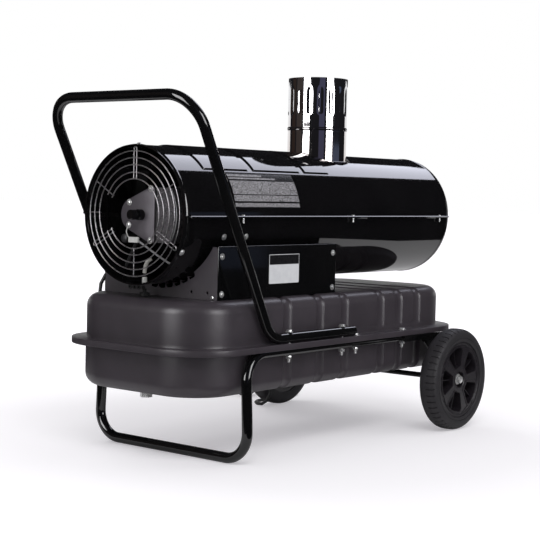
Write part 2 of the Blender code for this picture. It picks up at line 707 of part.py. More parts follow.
def press_grooves(shape, height):
    """Cross grooves pressed into the walls and the crown, with sloped sides and closed ends."""
    def slice_at(place, normal):
        bmesh.ops.bisect_plane(shape, geom=shape.verts[:] + shape.edges[:] + shape.faces[:],
                               plane_co=place, plane_no=normal)

    slice_at((0, 0, GROOVE_END), (0, 0, 1))
    for share in GROOVE_START_SHARES:
        start = share * TANK_LENGTH - TANK_LENGTH / 2
        for cut in (0, GROOVE_SLOPE, GROOVE_WIDTH - GROOVE_SLOPE, GROOVE_WIDTH):
            slice_at((start + cut, 0, 0), (1, 0, 0))
        low = start + GROOVE_SLOPE / 2
        high = start + GROOVE_WIDTH - GROOVE_SLOPE / 2
        side = TANK_WIDTH / 2
        for vert in shape.verts:
            if not low < vert.co.x < high or vert.co.z < 2 * GROOVE_END:
                continue
            fall = math.hypot(max(abs(vert.co.y) - side + TANK_FILLET, 0),
                              max(vert.co.z - height + TANK_FILLET, 0))
            if fall:
                across = max(abs(vert.co.y) - side + TANK_FILLET, 0) / fall
                upward = max(vert.co.z - height + TANK_FILLET, 0) / fall
                vert.co.y -= math.copysign(GROOVE_DEPTH * across, vert.co.y)
                vert.co.z -= GROOVE_DEPTH * upward


def bolt_places():
    """(x, y) of each frame bolt, with True where the handle is clamped too."""
    for side in (-1, 1):
        for distance in HANDLE_BOLTS_FROM_LEFT:
            yield from_left(distance), side * RAIL_Y, True
        for distance in FLANGE_BOLTS_FROM_LEFT:
            yield from_left(distance), side * RAIL_Y, False


def make_tank():
    upper = bowl("tank_upper", TANK_UPPER_HEIGHT, LIP_DEPTH, 0, TANK_GREY)
    upper.location = (TANK_MIDDLE, 0, FLANGE_Z)
    lower_rim = LOWER_FLANGE_TOP - TANK_WALL
    lower = bowl("tank_lower", lower_rim - TANK_BOTTOM_Z, 0, LOWER_FLANGE_INSET, TANK_GREY)
    lower.location = (TANK_MIDDLE, 0, lower_rim)
    lower.rotation_euler = (math.pi, 0, 0)
    neck = rod("filler_neck", (FILLER_X, FILLER_Y, TANK_TOP_Z - GROOVE_DEPTH - TANK_WALL / 2),
               (FILLER_X, FILLER_Y, TANK_TOP_Z + NECK_HEIGHT), NECK_RADIUS, 14)
    combine(upper, "UNION", [neck])
    holes = [(FILLER_X, FILLER_Y, NECK_RADIUS - NECK_WALL), (GAUGE_X, FILLER_Y, GAUGE_HOLE),
             (HOSE_X, HOSE_Y, OUTLET_HOLE)]
    for number, (x, y, radius) in enumerate(holes):
        hole = rod(f"tank_hole_{number}", (x, y, TANK_TOP_Z - TANK_FILLET),
                   (x, y, TANK_TOP_Z + TANK_FILLET), radius, 12)
        combine(upper, "DIFFERENCE", [hole])
    drain_hole = rod("drain_hole", (DRAIN_X, DRAIN_Y, TANK_BOTTOM_Z - OVERRUN),
                     (DRAIN_X, DRAIN_Y, TANK_BOTTOM_Z + OVERRUN), DRAIN_RADIUS + GAP, 12)
    combine(lower, "DIFFERENCE", [drain_hole])
    for number, (x, y, _) in enumerate(bolt_places()):
        hole = rod(f"bolt_hole_{number}", (x, y, RAIL_Z - 2 * TUBE_RADIUS),
                   (x, y, HANDLE_Z + 2 * TUBE_RADIUS),
                   clear_of(BOLT_RADIUS, 6), 6)
        bolt_holes.append(hole)
        combine(upper, "DIFFERENCE", [hole])
        combine(lower, "DIFFERENCE", [hole])
    drain_top = TANK_BOTTOM_Z + 3 * TANK_WALL
    seal_radius = DRAIN_RADIUS * SEAL_REACH_SHARE
    seal_bottom = TANK_BOTTOM_Z - TANK_WALL - GAP
    seal_bore = clear_of(DRAIN_RADIUS, 10)
    turned("drain_seal", [(seal_bore, TANK_BOTTOM_Z - GAP), (seal_radius, TANK_BOTTOM_Z - GAP),
                          (seal_radius, seal_bottom), (seal_bore, seal_bottom)],
           (DRAIN_X, DRAIN_Y, 0), "Z", 10, MOULDED_BLACK)
    hexagon = turned("drain_plug", [(0, drain_top), (DRAIN_RADIUS, drain_top),
                                    (DRAIN_RADIUS, seal_bottom - GAP),
                                    (seal_radius, seal_bottom - GAP),
                                    (seal_radius, seal_bottom - GAP - DRAIN_RADIUS),
                                    (0, seal_bottom - GAP - DRAIN_RADIUS)], (DRAIN_X, DRAIN_Y, 0), "Z",
                                    6, ZINC)
    hexagon.modifiers["spin"].use_smooth_shade = False


bolt_holes = []


def make_tank_fittings():
    neck_top = TANK_TOP_Z + NECK_HEIGHT
    basket = NECK_RADIUS - NECK_WALL - GAP
    basket_wall = NECK_WALL
    turned("fuel_strainer", [(basket - basket_wall, neck_top + GAP + STRAINER_RIM),
                             (NECK_RADIUS, neck_top + GAP + STRAINER_RIM), (NECK_RADIUS, neck_top + GAP),
                             (basket, neck_top + GAP), (basket, neck_top - STRAINER_DEPTH),
                             (0, neck_top - STRAINER_DEPTH), (0, neck_top - STRAINER_DEPTH + basket_wall),
                             (basket - basket_wall, neck_top - STRAINER_DEPTH + basket_wall)],
           (FILLER_X, FILLER_Y, 0), "Z", 12, ZINC)
    cap_floor = neck_top + 2 * GAP + STRAINER_RIM
    skirt = TANK_TOP_Z + NECK_HEIGHT / 3
    inner = NECK_RADIUS + 2 * GAP
    cap_top = skirt + CAP_HEIGHT
    cap = turned("filler_cap", [(0, cap_top), (CAP_RADIUS - CAP_WALL, cap_top),
                                (CAP_RADIUS, cap_top - CAP_WALL),
                                (CAP_RADIUS, skirt), (inner, skirt), (inner, cap_floor), (0, cap_floor)],
                 (FILLER_X, FILLER_Y, 0), "Z", 16, MOULDED_BLACK)
    for number in range(CAP_GRIPS):
        angle = 2 * math.pi * number / CAP_GRIPS
        place = Vector((FILLER_X, FILLER_Y, 0)) + CAP_RADIUS * Vector((math.cos(angle), math.sin(angle),
                                                                       0))
        flute = rod(f"cap_flute_{number}", place + Vector((0, 0, skirt - OVERRUN)),
                    place + Vector((0, 0, cap_top + OVERRUN)), CAP_WALL / 2, 6)
        combine(cap, "DIFFERENCE", [flute])
    gauge_seat = TANK_TOP_Z + GAP
    float_bottom = TANK_TOP_Z - GAUGE_DEPTH
    turned("fuel_gauge", [(0, gauge_seat + GAUGE_DOME_HEIGHT),
                          (GAUGE_DOME - CAP_WALL, gauge_seat + GAUGE_DOME_HEIGHT),
                          (GAUGE_DOME, gauge_seat + GAUGE_DOME_HEIGHT - CAP_WALL),
                          (GAUGE_DOME, gauge_seat + CAP_WALL),
                          (GAUGE_FLANGE, gauge_seat + CAP_WALL), (GAUGE_FLANGE, gauge_seat),
                          (GAUGE_STEM, gauge_seat), (GAUGE_STEM, float_bottom + 2 * FLOAT_RADIUS),
                          (FLOAT_RADIUS, float_bottom + 2 * FLOAT_RADIUS), (FLOAT_RADIUS, float_bottom),
                          (0, float_bottom)], (GAUGE_X, FILLER_Y, 0), "Z", 14, MOULDED_BLACK)
    barb = HOSE_RADIUS - GAP
    stem = OUTLET_HOLE - GAP
    turned("fuel_outlet", [(0, gauge_seat + OUTLET_RISE), (barb, gauge_seat + OUTLET_RISE),
                           (barb, gauge_seat + OUTLET_RISE / 2),
                           (OUTLET_BASE, gauge_seat + OUTLET_RISE / 2),
                           (OUTLET_BASE, gauge_seat), (stem, gauge_seat),
                           (stem, TANK_TOP_Z - 4 * TANK_WALL),
                           (0, TANK_TOP_Z - 4 * TANK_WALL)], (HOSE_X, HOSE_Y, 0), "Z", 10, ZINC)


def make_frame():
    leg_x = from_left(LEG_FROM_LEFT)
    rail_end = from_left(RAIL_END_FROM_LEFT)
    foot_y = RAIL_Y + LEG_SPLAY
    path = bent([(rail_end, -RAIL_Y, RAIL_Z), (leg_x, -RAIL_Y, RAIL_Z), (leg_x, -foot_y, TUBE_RADIUS),
                 (leg_x, foot_y, TUBE_RADIUS), (leg_x, RAIL_Y, RAIL_Z), (rail_end, RAIL_Y, RAIL_Z)],
                (LEG_BEND, FOOT_BEND, FOOT_BEND, LEG_BEND), 5)
    frame = tube("support_frame", path, TUBE_RADIUS, TUBE_BLACK, 2)
    combine(frame, "DIFFERENCE", bolt_holes)


def make_handle():
    grip_x = BODY_LEFT - HANDLE_REACH + TUBE_RADIUS
    foot_x = from_left(HANDLE_FOOT_FROM_LEFT)
    end_x = from_left(HANDLE_END_FROM_LEFT)
    path = bent([(end_x, -RAIL_Y, HANDLE_Z), (foot_x, -RAIL_Y, HANDLE_Z), (grip_x, -RAIL_Y, GRIP_Z),
                 (grip_x, RAIL_Y, GRIP_Z), (foot_x, RAIL_Y, HANDLE_Z), (end_x, RAIL_Y, HANDLE_Z)],
                (HANDLE_FOOT_BEND, GRIP_BEND, GRIP_BEND, HANDLE_FOOT_BEND), 5)
    handle = tube("push_handle", path, TUBE_RADIUS, TUBE_BLACK, 2)
    clamped = [hole for hole, place in zip(bolt_holes, bolt_places()) if place[2]]
    combine(handle, "DIFFERENCE", clamped)


def make_bolts():
    names = ("near", "far")
    nut_top = RAIL_Z - TUBE_RADIUS - GAP
    for number, (x, y, through_handle) in enumerate(bolt_places()):
        seat = (HANDLE_Z + TUBE_RADIUS if through_handle else FLANGE_Z) + GAP
        head_top = seat + BOLT_HEAD_HEIGHT
        nut_bottom = nut_top - BOLT_NUT_HEIGHT
        name = f"frame_bolt_{names[number // 4]}_{number % 4 + 1}"
        turned(name, [(0, head_top), (BOLT_HEAD_RADIUS, head_top), (BOLT_HEAD_RADIUS, seat),
                      (BOLT_RADIUS, seat),
                      (BOLT_RADIUS, nut_top), (BOLT_HEAD_RADIUS, nut_top), (BOLT_HEAD_RADIUS, nut_bottom),
                      (BOLT_RADIUS, nut_bottom), (BOLT_RADIUS, nut_bottom - BOLT_TAIL),
                      (0, nut_bottom - BOLT_TAIL)],
               (x, y, 0), "Z", 6, ZINC).modifiers["spin"].use_smooth_shade = False


def make_axle():
    eye_gap = AXLE_RADIUS + GAP
    bracket_top = FLANGE_Z - LIP_DEPTH - GAP
    shoulder = WHEEL_RADIUS + BRACKET_SHOULDER
    small, large = BRACKET_THICKNESS, BRACKET_EYE
    eye_round = BRACKET_EYE * EYE_ROUND_SHARE
    for name, side in (("near", -1), ("far", 1)):
        rail_bottom = RAIL_Z - TUBE_RADIUS
        outline = rounded([(-BRACKET_AHEAD, bracket_top), (-BRACKET_AHEAD, rail_bottom),
                           (-BRACKET_SLOPE_AHEAD, rail_bottom), (-BRACKET_EYE, shoulder),
                           (-BRACKET_EYE, WHEEL_RADIUS - BRACKET_EYE),
                           (BRACKET_EYE, WHEEL_RADIUS - BRACKET_EYE),
                           (BRACKET_EYE, shoulder), (BRACKET_BEHIND, bracket_top)],
                          (small, small, large, large, eye_round, eye_round, large, small), 2)
        plate(f"axle_bracket_{name}", [outline, circle((0, WHEEL_RADIUS), eye_gap, 16)],
              BRACKET_THICKNESS,
              (AXLE_X, side * BRACKET_Y, 0), "Y", TUBE_BLACK)
        make_wheel(name, side)
    nut_seat = WHEEL_OUTER_Y - RIM_INSET - HUB_RECESS
    end = nut_seat + AXLE_WASHER_THICKNESS + 2 * GAP
    collar_end = WHEEL_INNER_Y - HUB_PROUD - GAP
    collar_start = collar_end - AXLE_RADIUS
    collar_radius = AXLE_RADIUS + AXLE_WASHER_THICKNESS * 2
    half = [(AXLE_RADIUS, collar_start), (collar_radius, collar_start), (collar_radius, collar_end),
            (AXLE_RADIUS, collar_end), (AXLE_RADIUS, end), (0, end)]
    turned("axle", [(radius, -height) for radius, height in half[::-1]] + half,
           (AXLE_X, 0, WHEEL_RADIUS), "Y", 12, ZINC)
    for name, side, axis in (("near", -1, "-Y"), ("far", 1, "Y")):
        washer_end = nut_seat + GAP + AXLE_WASHER_THICKNESS
        nut_end = washer_end + AXLE_NUT_HEIGHT
        blind = end + GAP
        turned(f"axle_nut_{name}", [(0, nut_end), (AXLE_NUT_RADIUS, nut_end),
                                    (AXLE_NUT_RADIUS, washer_end),
                                    (AXLE_WASHER_RADIUS, washer_end),
                                    (AXLE_WASHER_RADIUS, nut_seat + GAP),
                                    (eye_gap, nut_seat + GAP), (eye_gap, blind), (0, blind)],
               (AXLE_X, 0, WHEEL_RADIUS), axis, 12, ZINC)


def make_wheel(name, side):
    axis = "Y" if side > 0 else "-Y"
    centre = (AXLE_X, side * (WHEEL_INNER_Y + WHEEL_WIDTH / 2), WHEEL_RADIUS)
    half = WHEEL_WIDTH / 2
    bead = WHEEL_RADIUS - TYRE_DEPTH
    crown = WHEEL_RADIUS
    turned(f"tyre_{name}", [(bead, half - RIM_INSET / 2), (crown - 2 * TYRE_SHOULDER, half),
                            (crown, half - TYRE_SHOULDER), (crown, TYRE_SHOULDER - half),
                            (crown - 2 * TYRE_SHOULDER, -half), (bead, RIM_INSET / 2 - half)],
           centre, axis, 24, RUBBER)
    rim_edge = bead - GAP
    rim_half = half - RIM_INSET
    bore = AXLE_RADIUS + GAP
    hub_inner = -half - HUB_PROUD
    recess = rim_half - HUB_RECESS
    dish = RIM_WALL - rim_half
    rim = turned(f"rim_{name}", [(bore, recess), (HUB_RADIUS - RIM_INSET, recess),
                                 (HUB_RADIUS - RIM_INSET, rim_half),
                                 (rim_edge, rim_half), (rim_edge, -rim_half),
                                 (rim_edge - RIM_WALL, -rim_half),
                                 (rim_edge - RIM_WALL, dish), (HUB_RADIUS, dish), (HUB_RADIUS, hub_inner),
                                 (bore, hub_inner)], centre, axis, 24, MOULDED_BLACK)
    outer = rim_edge - RIM_WALL
    for number in range(RIM_POCKETS):
        middle_deg = 90 + 360 / RIM_POCKETS * (number + 0.5)
        half_outer = 180 / RIM_POCKETS - math.degrees(SPOKE_WIDTH / 2 / outer)
        half_inner = 180 / RIM_POCKETS - math.degrees(SPOKE_WIDTH / 2 / POCKET_INNER_RADIUS)
        outline = (arc((0, 0), outer, middle_deg - half_outer, middle_deg + half_outer, 4)
                   + arc((0, 0), POCKET_INNER_RADIUS, middle_deg + half_inner, middle_deg - half_inner,
                         1))
        depth = POCKET_DEPTH + OVERRUN
        pocket = plate(f"pocket_{name}_{number}", [outline], depth,
                       (centre[0], centre[1] + side * (rim_half - POCKET_DEPTH + depth / 2), centre[2]),
                       "Y")
        combine(rim, "DIFFERENCE", [pocket])


def make_control_box():
    saddle_bottom = AXIS_Z - BODY_RADIUS - GAP - BOX_FLOOR
    saddle_depth = BOX_HEIGHT - saddle_bottom
    arc_radius = (SADDLE_HALF_WIDTH ** 2 + saddle_depth ** 2) / (2 * saddle_depth)
    reach_deg = math.degrees(math.asin(SADDLE_HALF_WIDTH / arc_radius))
    saddle = arc((0, saddle_bottom + arc_radius), arc_radius, -90 - reach_deg, reach_deg - 90, 16)
    end_half = BOX_HALF_WIDTH - BOX_SHEET - GAP
    corners = rounded([(end_half, BOX_HEIGHT), (end_half, 0), (-end_half, 0), (-end_half, BOX_HEIGHT)],
                      (BOX_CORNER, BOX_SHEET, BOX_SHEET, BOX_CORNER), 3)
    outline = corners + saddle
    # Each hole is turned a little more than the last, because a flat fill fails on corners in one line
    holes = [circle((CABLE_HOLES_FROM_MIDDLE + number * CABLE_HOLE_PITCH, CABLE_HOLE_RISE),
                    CABLE_HOLE_RADIUS, 7,
                    10 * number) for number in range(CABLE_HOLES)]
    holes += [circle((-distance, CABLE_HOLE_RISE), RIVET_HOLE_RADIUS, 6,
                     20) for distance in RIVET_HOLES_FROM_MIDDLE]
    left = plate("box_chassis", [outline, *holes], BOX_SHEET, (BOX_LEFT + BOX_SHEET / 2, 0, BOX_FLOOR),
                 "X", BOX_GREY)
    right = plate("box_right_end", [outline], BOX_SHEET, (BOX_RIGHT - BOX_SHEET / 2, 0, BOX_FLOOR), "X")
    inset = BOX_SHEET / 2
    base = block("box_base", (BOX_LEFT + inset, inset - end_half, BOX_FLOOR + GAP),
                 (BOX_RIGHT - inset, end_half - inset, BOX_FLOOR + BOX_SHEET + GAP))
    combine(left, "UNION", [base, right])
    make_box_side("side_panel", -1)
    panel = make_box_side("control_panel", 1)
    face_y = BOX_HALF_WIDTH - BOX_SHEET / 2
    through = BOX_SHEET / 2 + OVERRUN
    switch_hole = block("switch_hole", (SWITCH_X - SWITCH_HALF_WIDTH - GAP, face_y - through,
                                        SWITCH_Z - SWITCH_HALF_HEIGHT - GAP),
                        (SWITCH_X + SWITCH_HALF_WIDTH + GAP, face_y + through,
                         SWITCH_Z + SWITCH_HALF_HEIGHT + GAP))
    combine(panel, "DIFFERENCE", [switch_hole])
    rounds = [("knob", KNOB_X, SWITCH_Z, STAT_NECK_RADIUS), ("reset", RESET_X, SWITCH_Z,
                                                             RESET_SLEEVE_RADIUS),
              ("lamp", LAMP_X, SWITCH_Z, LAMP_RADIUS), ("gland", GLAND_X, GLAND_Z, GLAND_NECK_RADIUS)]
    for label, x, z, radius in rounds:
        hole = rod(f"{label}_hole", (x, face_y - through, z), (x, face_y + through, z), radius + GAP, 16)
        combine(panel, "DIFFERENCE", [hole])


def make_box_side(name, side):
    outer = BOX_HALF_WIDTH
    wall = block(name, (BOX_LEFT, min(side * (outer - BOX_SHEET), side * outer), BOX_FLOOR),
                 (BOX_RIGHT, max(side * (outer - BOX_SHEET), side * outer), BOX_TOP + BOX_SHEET + GAP),
                 GLOSS_BLACK)
    flange = block(f"{name}_top", (BOX_LEFT, min(side * (outer - BOX_TOP_FLANGE), side * outer),
                                   BOX_TOP + GAP),
                   (BOX_RIGHT, max(side * (outer - BOX_TOP_FLANGE), side * outer),
                    BOX_TOP + BOX_SHEET + GAP))
    combine(wall, "UNION", [flange])
    return wall


def make_controls():
    face = BOX_HALF_WIDTH
    back = face - BOX_SHEET
    bezel = block("switch_bezel", (SWITCH_X - SWITCH_HALF_WIDTH - SWITCH_BEZEL, face + GAP,
                                   SWITCH_Z - SWITCH_HALF_HEIGHT - SWITCH_BEZEL),
                  (SWITCH_X + SWITCH_HALF_WIDTH + SWITCH_BEZEL, face + GAP + SWITCH_BEZEL,
                   SWITCH_Z + SWITCH_HALF_HEIGHT + SWITCH_BEZEL),
                  MOULDED_BLACK)
    case = block("switch_case", (SWITCH_X - SWITCH_HALF_WIDTH, face - SWITCH_DEPTH,
                                 SWITCH_Z - SWITCH_HALF_HEIGHT),
                 (SWITCH_X + SWITCH_HALF_WIDTH, face + GAP + SWITCH_BEZEL / 2,
                  SWITCH_Z + SWITCH_HALF_HEIGHT))
    well_half_width = SWITCH_HALF_WIDTH - SWITCH_BEZEL / 2
    well_half_height = SWITCH_HALF_HEIGHT - SWITCH_BEZEL / 2
    well_floor = face - SWITCH_DEPTH / 2
    well = block("switch_well", (SWITCH_X - well_half_width, well_floor, SWITCH_Z - well_half_height),
                 (SWITCH_X + well_half_width, face + OVERRUN, SWITCH_Z + well_half_height))
    combine(bezel, "UNION", [case])
    combine(bezel, "DIFFERENCE", [well])
    tilt = math.radians(ROCKER_THROW_DEG)
    crest = 2 * SWITCH_BEZEL
    dip = SWITCH_BEZEL / 2
    half = (well_half_height - 3 * GAP - crest * math.sin(tilt)) / math.cos(tilt)
    foot = half * ROCKER_FOOT_SHARE
    # Points are (outward, upward) of the pivot, turned so that the lower edge is pressed in
    level = [(crest, -half), (crest - dip, 0), (crest, half), (-dip, foot), (-SWITCH_DEPTH / 4, 0),
             (-dip, -foot)]
    outline = [(out * math.cos(tilt) + up * math.sin(tilt), up * math.cos(tilt) - out * math.sin(tilt))
               for out, up in level]
    plate("rocker", [outline], 2 * (well_half_width - GAP), (SWITCH_X, face, SWITCH_Z), "X",
          MOULDED_BLACK)
    stem_gap = STEM_RADIUS + GAP
    turned("thermostat_body", [(stem_gap, face + STAT_NECK_RADIUS),
                               (STAT_NECK_RADIUS, face + STAT_NECK_RADIUS),
                               (STAT_NECK_RADIUS, back - GAP), (STAT_RADIUS, back - GAP),
                               (STAT_RADIUS, back - STAT_DEPTH), (0, back - STAT_DEPTH),
                               (0, back - STAT_DEPTH / 2), (stem_gap, back - STAT_DEPTH / 2)],
           (KNOB_X, 0, SWITCH_Z), "Y", 14, DARK_METAL)
    knob_back = face + STAT_NECK_RADIUS + GAP
    knob_front = knob_back + KNOB_HEIGHT
    ease = KNOB_HEIGHT / 5
    knob = turned("thermostat_knob", [(0, knob_front), (KNOB_RADIUS - 2 * ease, knob_front),
                                      (KNOB_RADIUS - ease, knob_front - ease), (KNOB_RADIUS, knob_back),
                                      (STEM_RADIUS, knob_back),
                                      (STEM_RADIUS, back - STAT_DEPTH / 2 + GAP),
                                      (0, back - STAT_DEPTH / 2 + GAP)], (KNOB_X, 0, SWITCH_Z), "Y", 16,
                                      MOULDED_BLACK)
    for number in range(KNOB_FLUTES):
        angle = 2 * math.pi * number / KNOB_FLUTES
        place = Vector((KNOB_X + KNOB_RADIUS * math.cos(angle), knob_back - OVERRUN / 2,
                        SWITCH_Z + KNOB_RADIUS * math.sin(angle)))
        flute = rod(f"knob_flute_{number}", place, place + Vector((0, KNOB_HEIGHT + OVERRUN, 0)),
                    ease * FLUTE_DEPTH_SHARE, 6)
        combine(knob, "DIFFERENCE", [flute])
    button_gap = RESET_BUTTON_RADIUS + GAP
    sleeve_back = back - 4 * RESET_TRAVEL
    turned("reset_sleeve", [(button_gap, face + GAP + SWITCH_BEZEL),
                            (RESET_BEZEL, face + GAP + SWITCH_BEZEL / 2),
                            (RESET_BEZEL, face + GAP), (RESET_SLEEVE_RADIUS, face + GAP),
                            (RESET_SLEEVE_RADIUS, sleeve_back), (0, sleeve_back),
                            (0, sleeve_back + RESET_TRAVEL), (button_gap, sleeve_back + RESET_TRAVEL)],
           (RESET_X, 0, SWITCH_Z), "Y", 14, MOULDED_BLACK)
    button_back = sleeve_back + 2 * RESET_TRAVEL + 2 * GAP
    button_front = face + SWITCH_BEZEL + RESET_PROUD
    button_ease = RESET_BUTTON_RADIUS / 5
    turned("reset_button", [(0, button_front), (RESET_BUTTON_RADIUS - button_ease, button_front),
                            (RESET_BUTTON_RADIUS, button_front - button_ease),
                            (RESET_BUTTON_RADIUS, button_back), (0, button_back)],
           (RESET_X, 0, SWITCH_Z), "Y", 14, RED_LENS)
    turned("indicator_lamp", [(0, face + 2 * SWITCH_BEZEL), (LAMP_RADIUS / 2,
                                                             face + 2 * SWITCH_BEZEL - GAP),
                              (LAMP_RADIUS, face + SWITCH_BEZEL),
                              (LAMP_RADIUS * LAMP_RIM_SHARE, face + SWITCH_BEZEL),
                              (LAMP_RADIUS * LAMP_RIM_SHARE, face + GAP), (LAMP_RADIUS, face + GAP),
                              (LAMP_RADIUS, back - 2 * LAMP_RADIUS), (0, back - 2 * LAMP_RADIUS)],
           (LAMP_X, 0, SWITCH_Z), "Y", 10, RED_LENS)
    gland_end = face + GLAND_LENGTH
    turned("cord_gland", [(0, gland_end), (CORD_RADIUS * GLAND_MOUTH_SHARE, gland_end),
                          (GLAND_NECK_RADIUS * GLAND_TAPER_SHARE, face + GLAND_LENGTH / 2),
                          (GLAND_NUT_RADIUS * GLAND_TAPER_SHARE, face + GLAND_LENGTH / 3),
                          (GLAND_NUT_RADIUS, face + GLAND_LENGTH / 4),
                          (GLAND_NUT_RADIUS, face + GAP), (GLAND_NECK_RADIUS, face + GAP),
                          (GLAND_NECK_RADIUS, back - GLAND_NECK_RADIUS), (0, back - GLAND_NECK_RADIUS)],
           (GLAND_X, 0, GLAND_Z), "Y", 12, MOULDED_BLACK)


def make_electrics():
    floor = BOX_FLOOR + BOX_SHEET + 2 * GAP
    x0 = BOX_LEFT + TRANSFORMER_FROM_BOX
    length, width, height = TRANSFORMER_SIZE
    y0 = GAP + BOX_SHEET - BOX_HALF_WIDTH
    body_bottom = AXIS_Z - math.sqrt(BODY_RADIUS ** 2 - (y0 + width) ** 2)
    height = min(height, body_bottom - OVERRUN - floor)
    body = block("ignition_transformer", (x0, y0, floor), (x0 + length, y0 + width, floor + height),
                 DARK_METAL)
    for number in range(2):
        x = x0 + length / 4 * (1 + 2 * number)
        post = rod(f"post_{number}", (x, y0 + POST_RADIUS * 2, floor + height / 2),
                   (x, y0 + POST_RADIUS * 2, floor + height + POST_RADIUS), POST_RADIUS, 12)
        combine(body, "UNION", [post])
    length, thickness, height = BOARD_SIZE
    x0 = KNOB_X - length * BOARD_AHEAD_SHARE
    y0 = BOX_HALF_WIDTH - BOX_SHEET - BOARD_FROM_PANEL - thickness
    board = block("control_board", (x0, y0, floor), (x0 + length, y0 + thickness, floor + height),
                  CIRCUIT_GREEN)
    for number in range(3):
        share = (number + 1) / 4
        side = height / 5
        relay = block(f"relay_{number}", (x0 + length * share, y0 - side, floor + height * share - side),
                      (x0 + length * share + side, y0 + thickness / 2, floor + height * share))
        combine(board, "UNION", [relay])


def axial(name, profile, steps, material, y=0, z=0):
    """A shape turned about a line along the body, with heights counted from the intake rim."""
    return turned(name, [(radius, height) for radius, height in profile], (BODY_LEFT, y, AXIS_Z + z),
                  "X", steps, material)


def make_guard():
    x = from_left(GUARD_FROM_LEFT)
    first = None
    pieces = []
    for number, radius in enumerate(GUARD_RING_RADII):
        is_open = number >= len(GUARD_RING_RADII) - GUARD_OPEN_RINGS
        # The inner rings stop short on the side of the far panel, at 9 o'clock from the intake
        span = (GUARD_OPEN_HALF_DEG, 360 - GUARD_OPEN_HALF_DEG) if is_open else (0, 360)
        steps = 16 if is_open else 24
        points = [(x, y, AXIS_Z + z) for y, z in arc((0, 0), radius, *span, steps)]
        material = GUARD_METAL if number == 0 else None
        name = "fan_guard" if number == 0 else f"guard_ring_{number}"
        ring = tube(name, points if is_open else points[:-1], GUARD_WIRE, material, 0, not is_open)
        if number == 0:
            first = ring
        else:
            pieces.append(ring)
    outer = GUARD_RING_RADII[0] + GUARD_WIRE
    inner = GUARD_RING_RADII[-1] - GUARD_WIRE
    plane = x + GUARD_WIRE * SPOKE_LAYER_SHARE
    # Double spokes carry the three screw eyes, single ones stand between them
    for number in range(6):
        angle = math.radians(90 + 60 * number)
        along = Vector((0, math.cos(angle), math.sin(angle)))
        across = Vector((0, -math.sin(angle), math.cos(angle)))
        centre = Vector((plane, 0, AXIS_Z))
        if number % 2 == 0:
            reach = SHELL_INNER - GAP
            reach = math.sqrt(reach ** 2 - (GUARD_PAIR_HALF + GUARD_WIRE) ** 2)
            for side in (-1, 1):
                shift = across * side * GUARD_PAIR_HALF
                pieces.append(tube(f"guard_spoke_{number}_{side}", [centre + along * inner + shift,
                                                                    centre + along * reach + shift],
                                                                    GUARD_WIRE, None, 0))
        else:
            pieces.append(tube(f"guard_spoke_{number}", [centre + along * inner, centre + along * outer],
                               GUARD_WIRE, None, 0))
    short = GUARD_RING_RADII[2] - GUARD_WIRE
    pieces.append(tube("guard_spoke_short", [(plane, short, AXIS_Z), (plane, outer, AXIS_Z)], GUARD_WIRE,
                       None, 0))
    combine(first, "UNION", pieces)


def pump_outline(inset):
    """The cover's outline seen from the intake: an upright edge and a rounded apex."""
    near = PUMP_NEAR_EDGE + inset
    apex_radius = PUMP_APEX_RADIUS - inset
    top = PUMP_HALF_HEIGHT - inset
    middle = (PUMP_APEX_REACH - PUMP_APEX_RADIUS, 0)
    shoulder = (near + PUMP_SHOULDER, top)
    span = math.hypot(shoulder[0] - middle[0], shoulder[1] - middle[1])
    lean = math.degrees(math.atan2(shoulder[1] - middle[1], shoulder[0] - middle[0])
                        - math.acos(apex_radius / span))
    upper = [(near, top), shoulder]
    tip = arc(middle, apex_radius, lean, -lean, 8)
    return upper + tip + [(y, -z) for y, z in upper[::-1]]


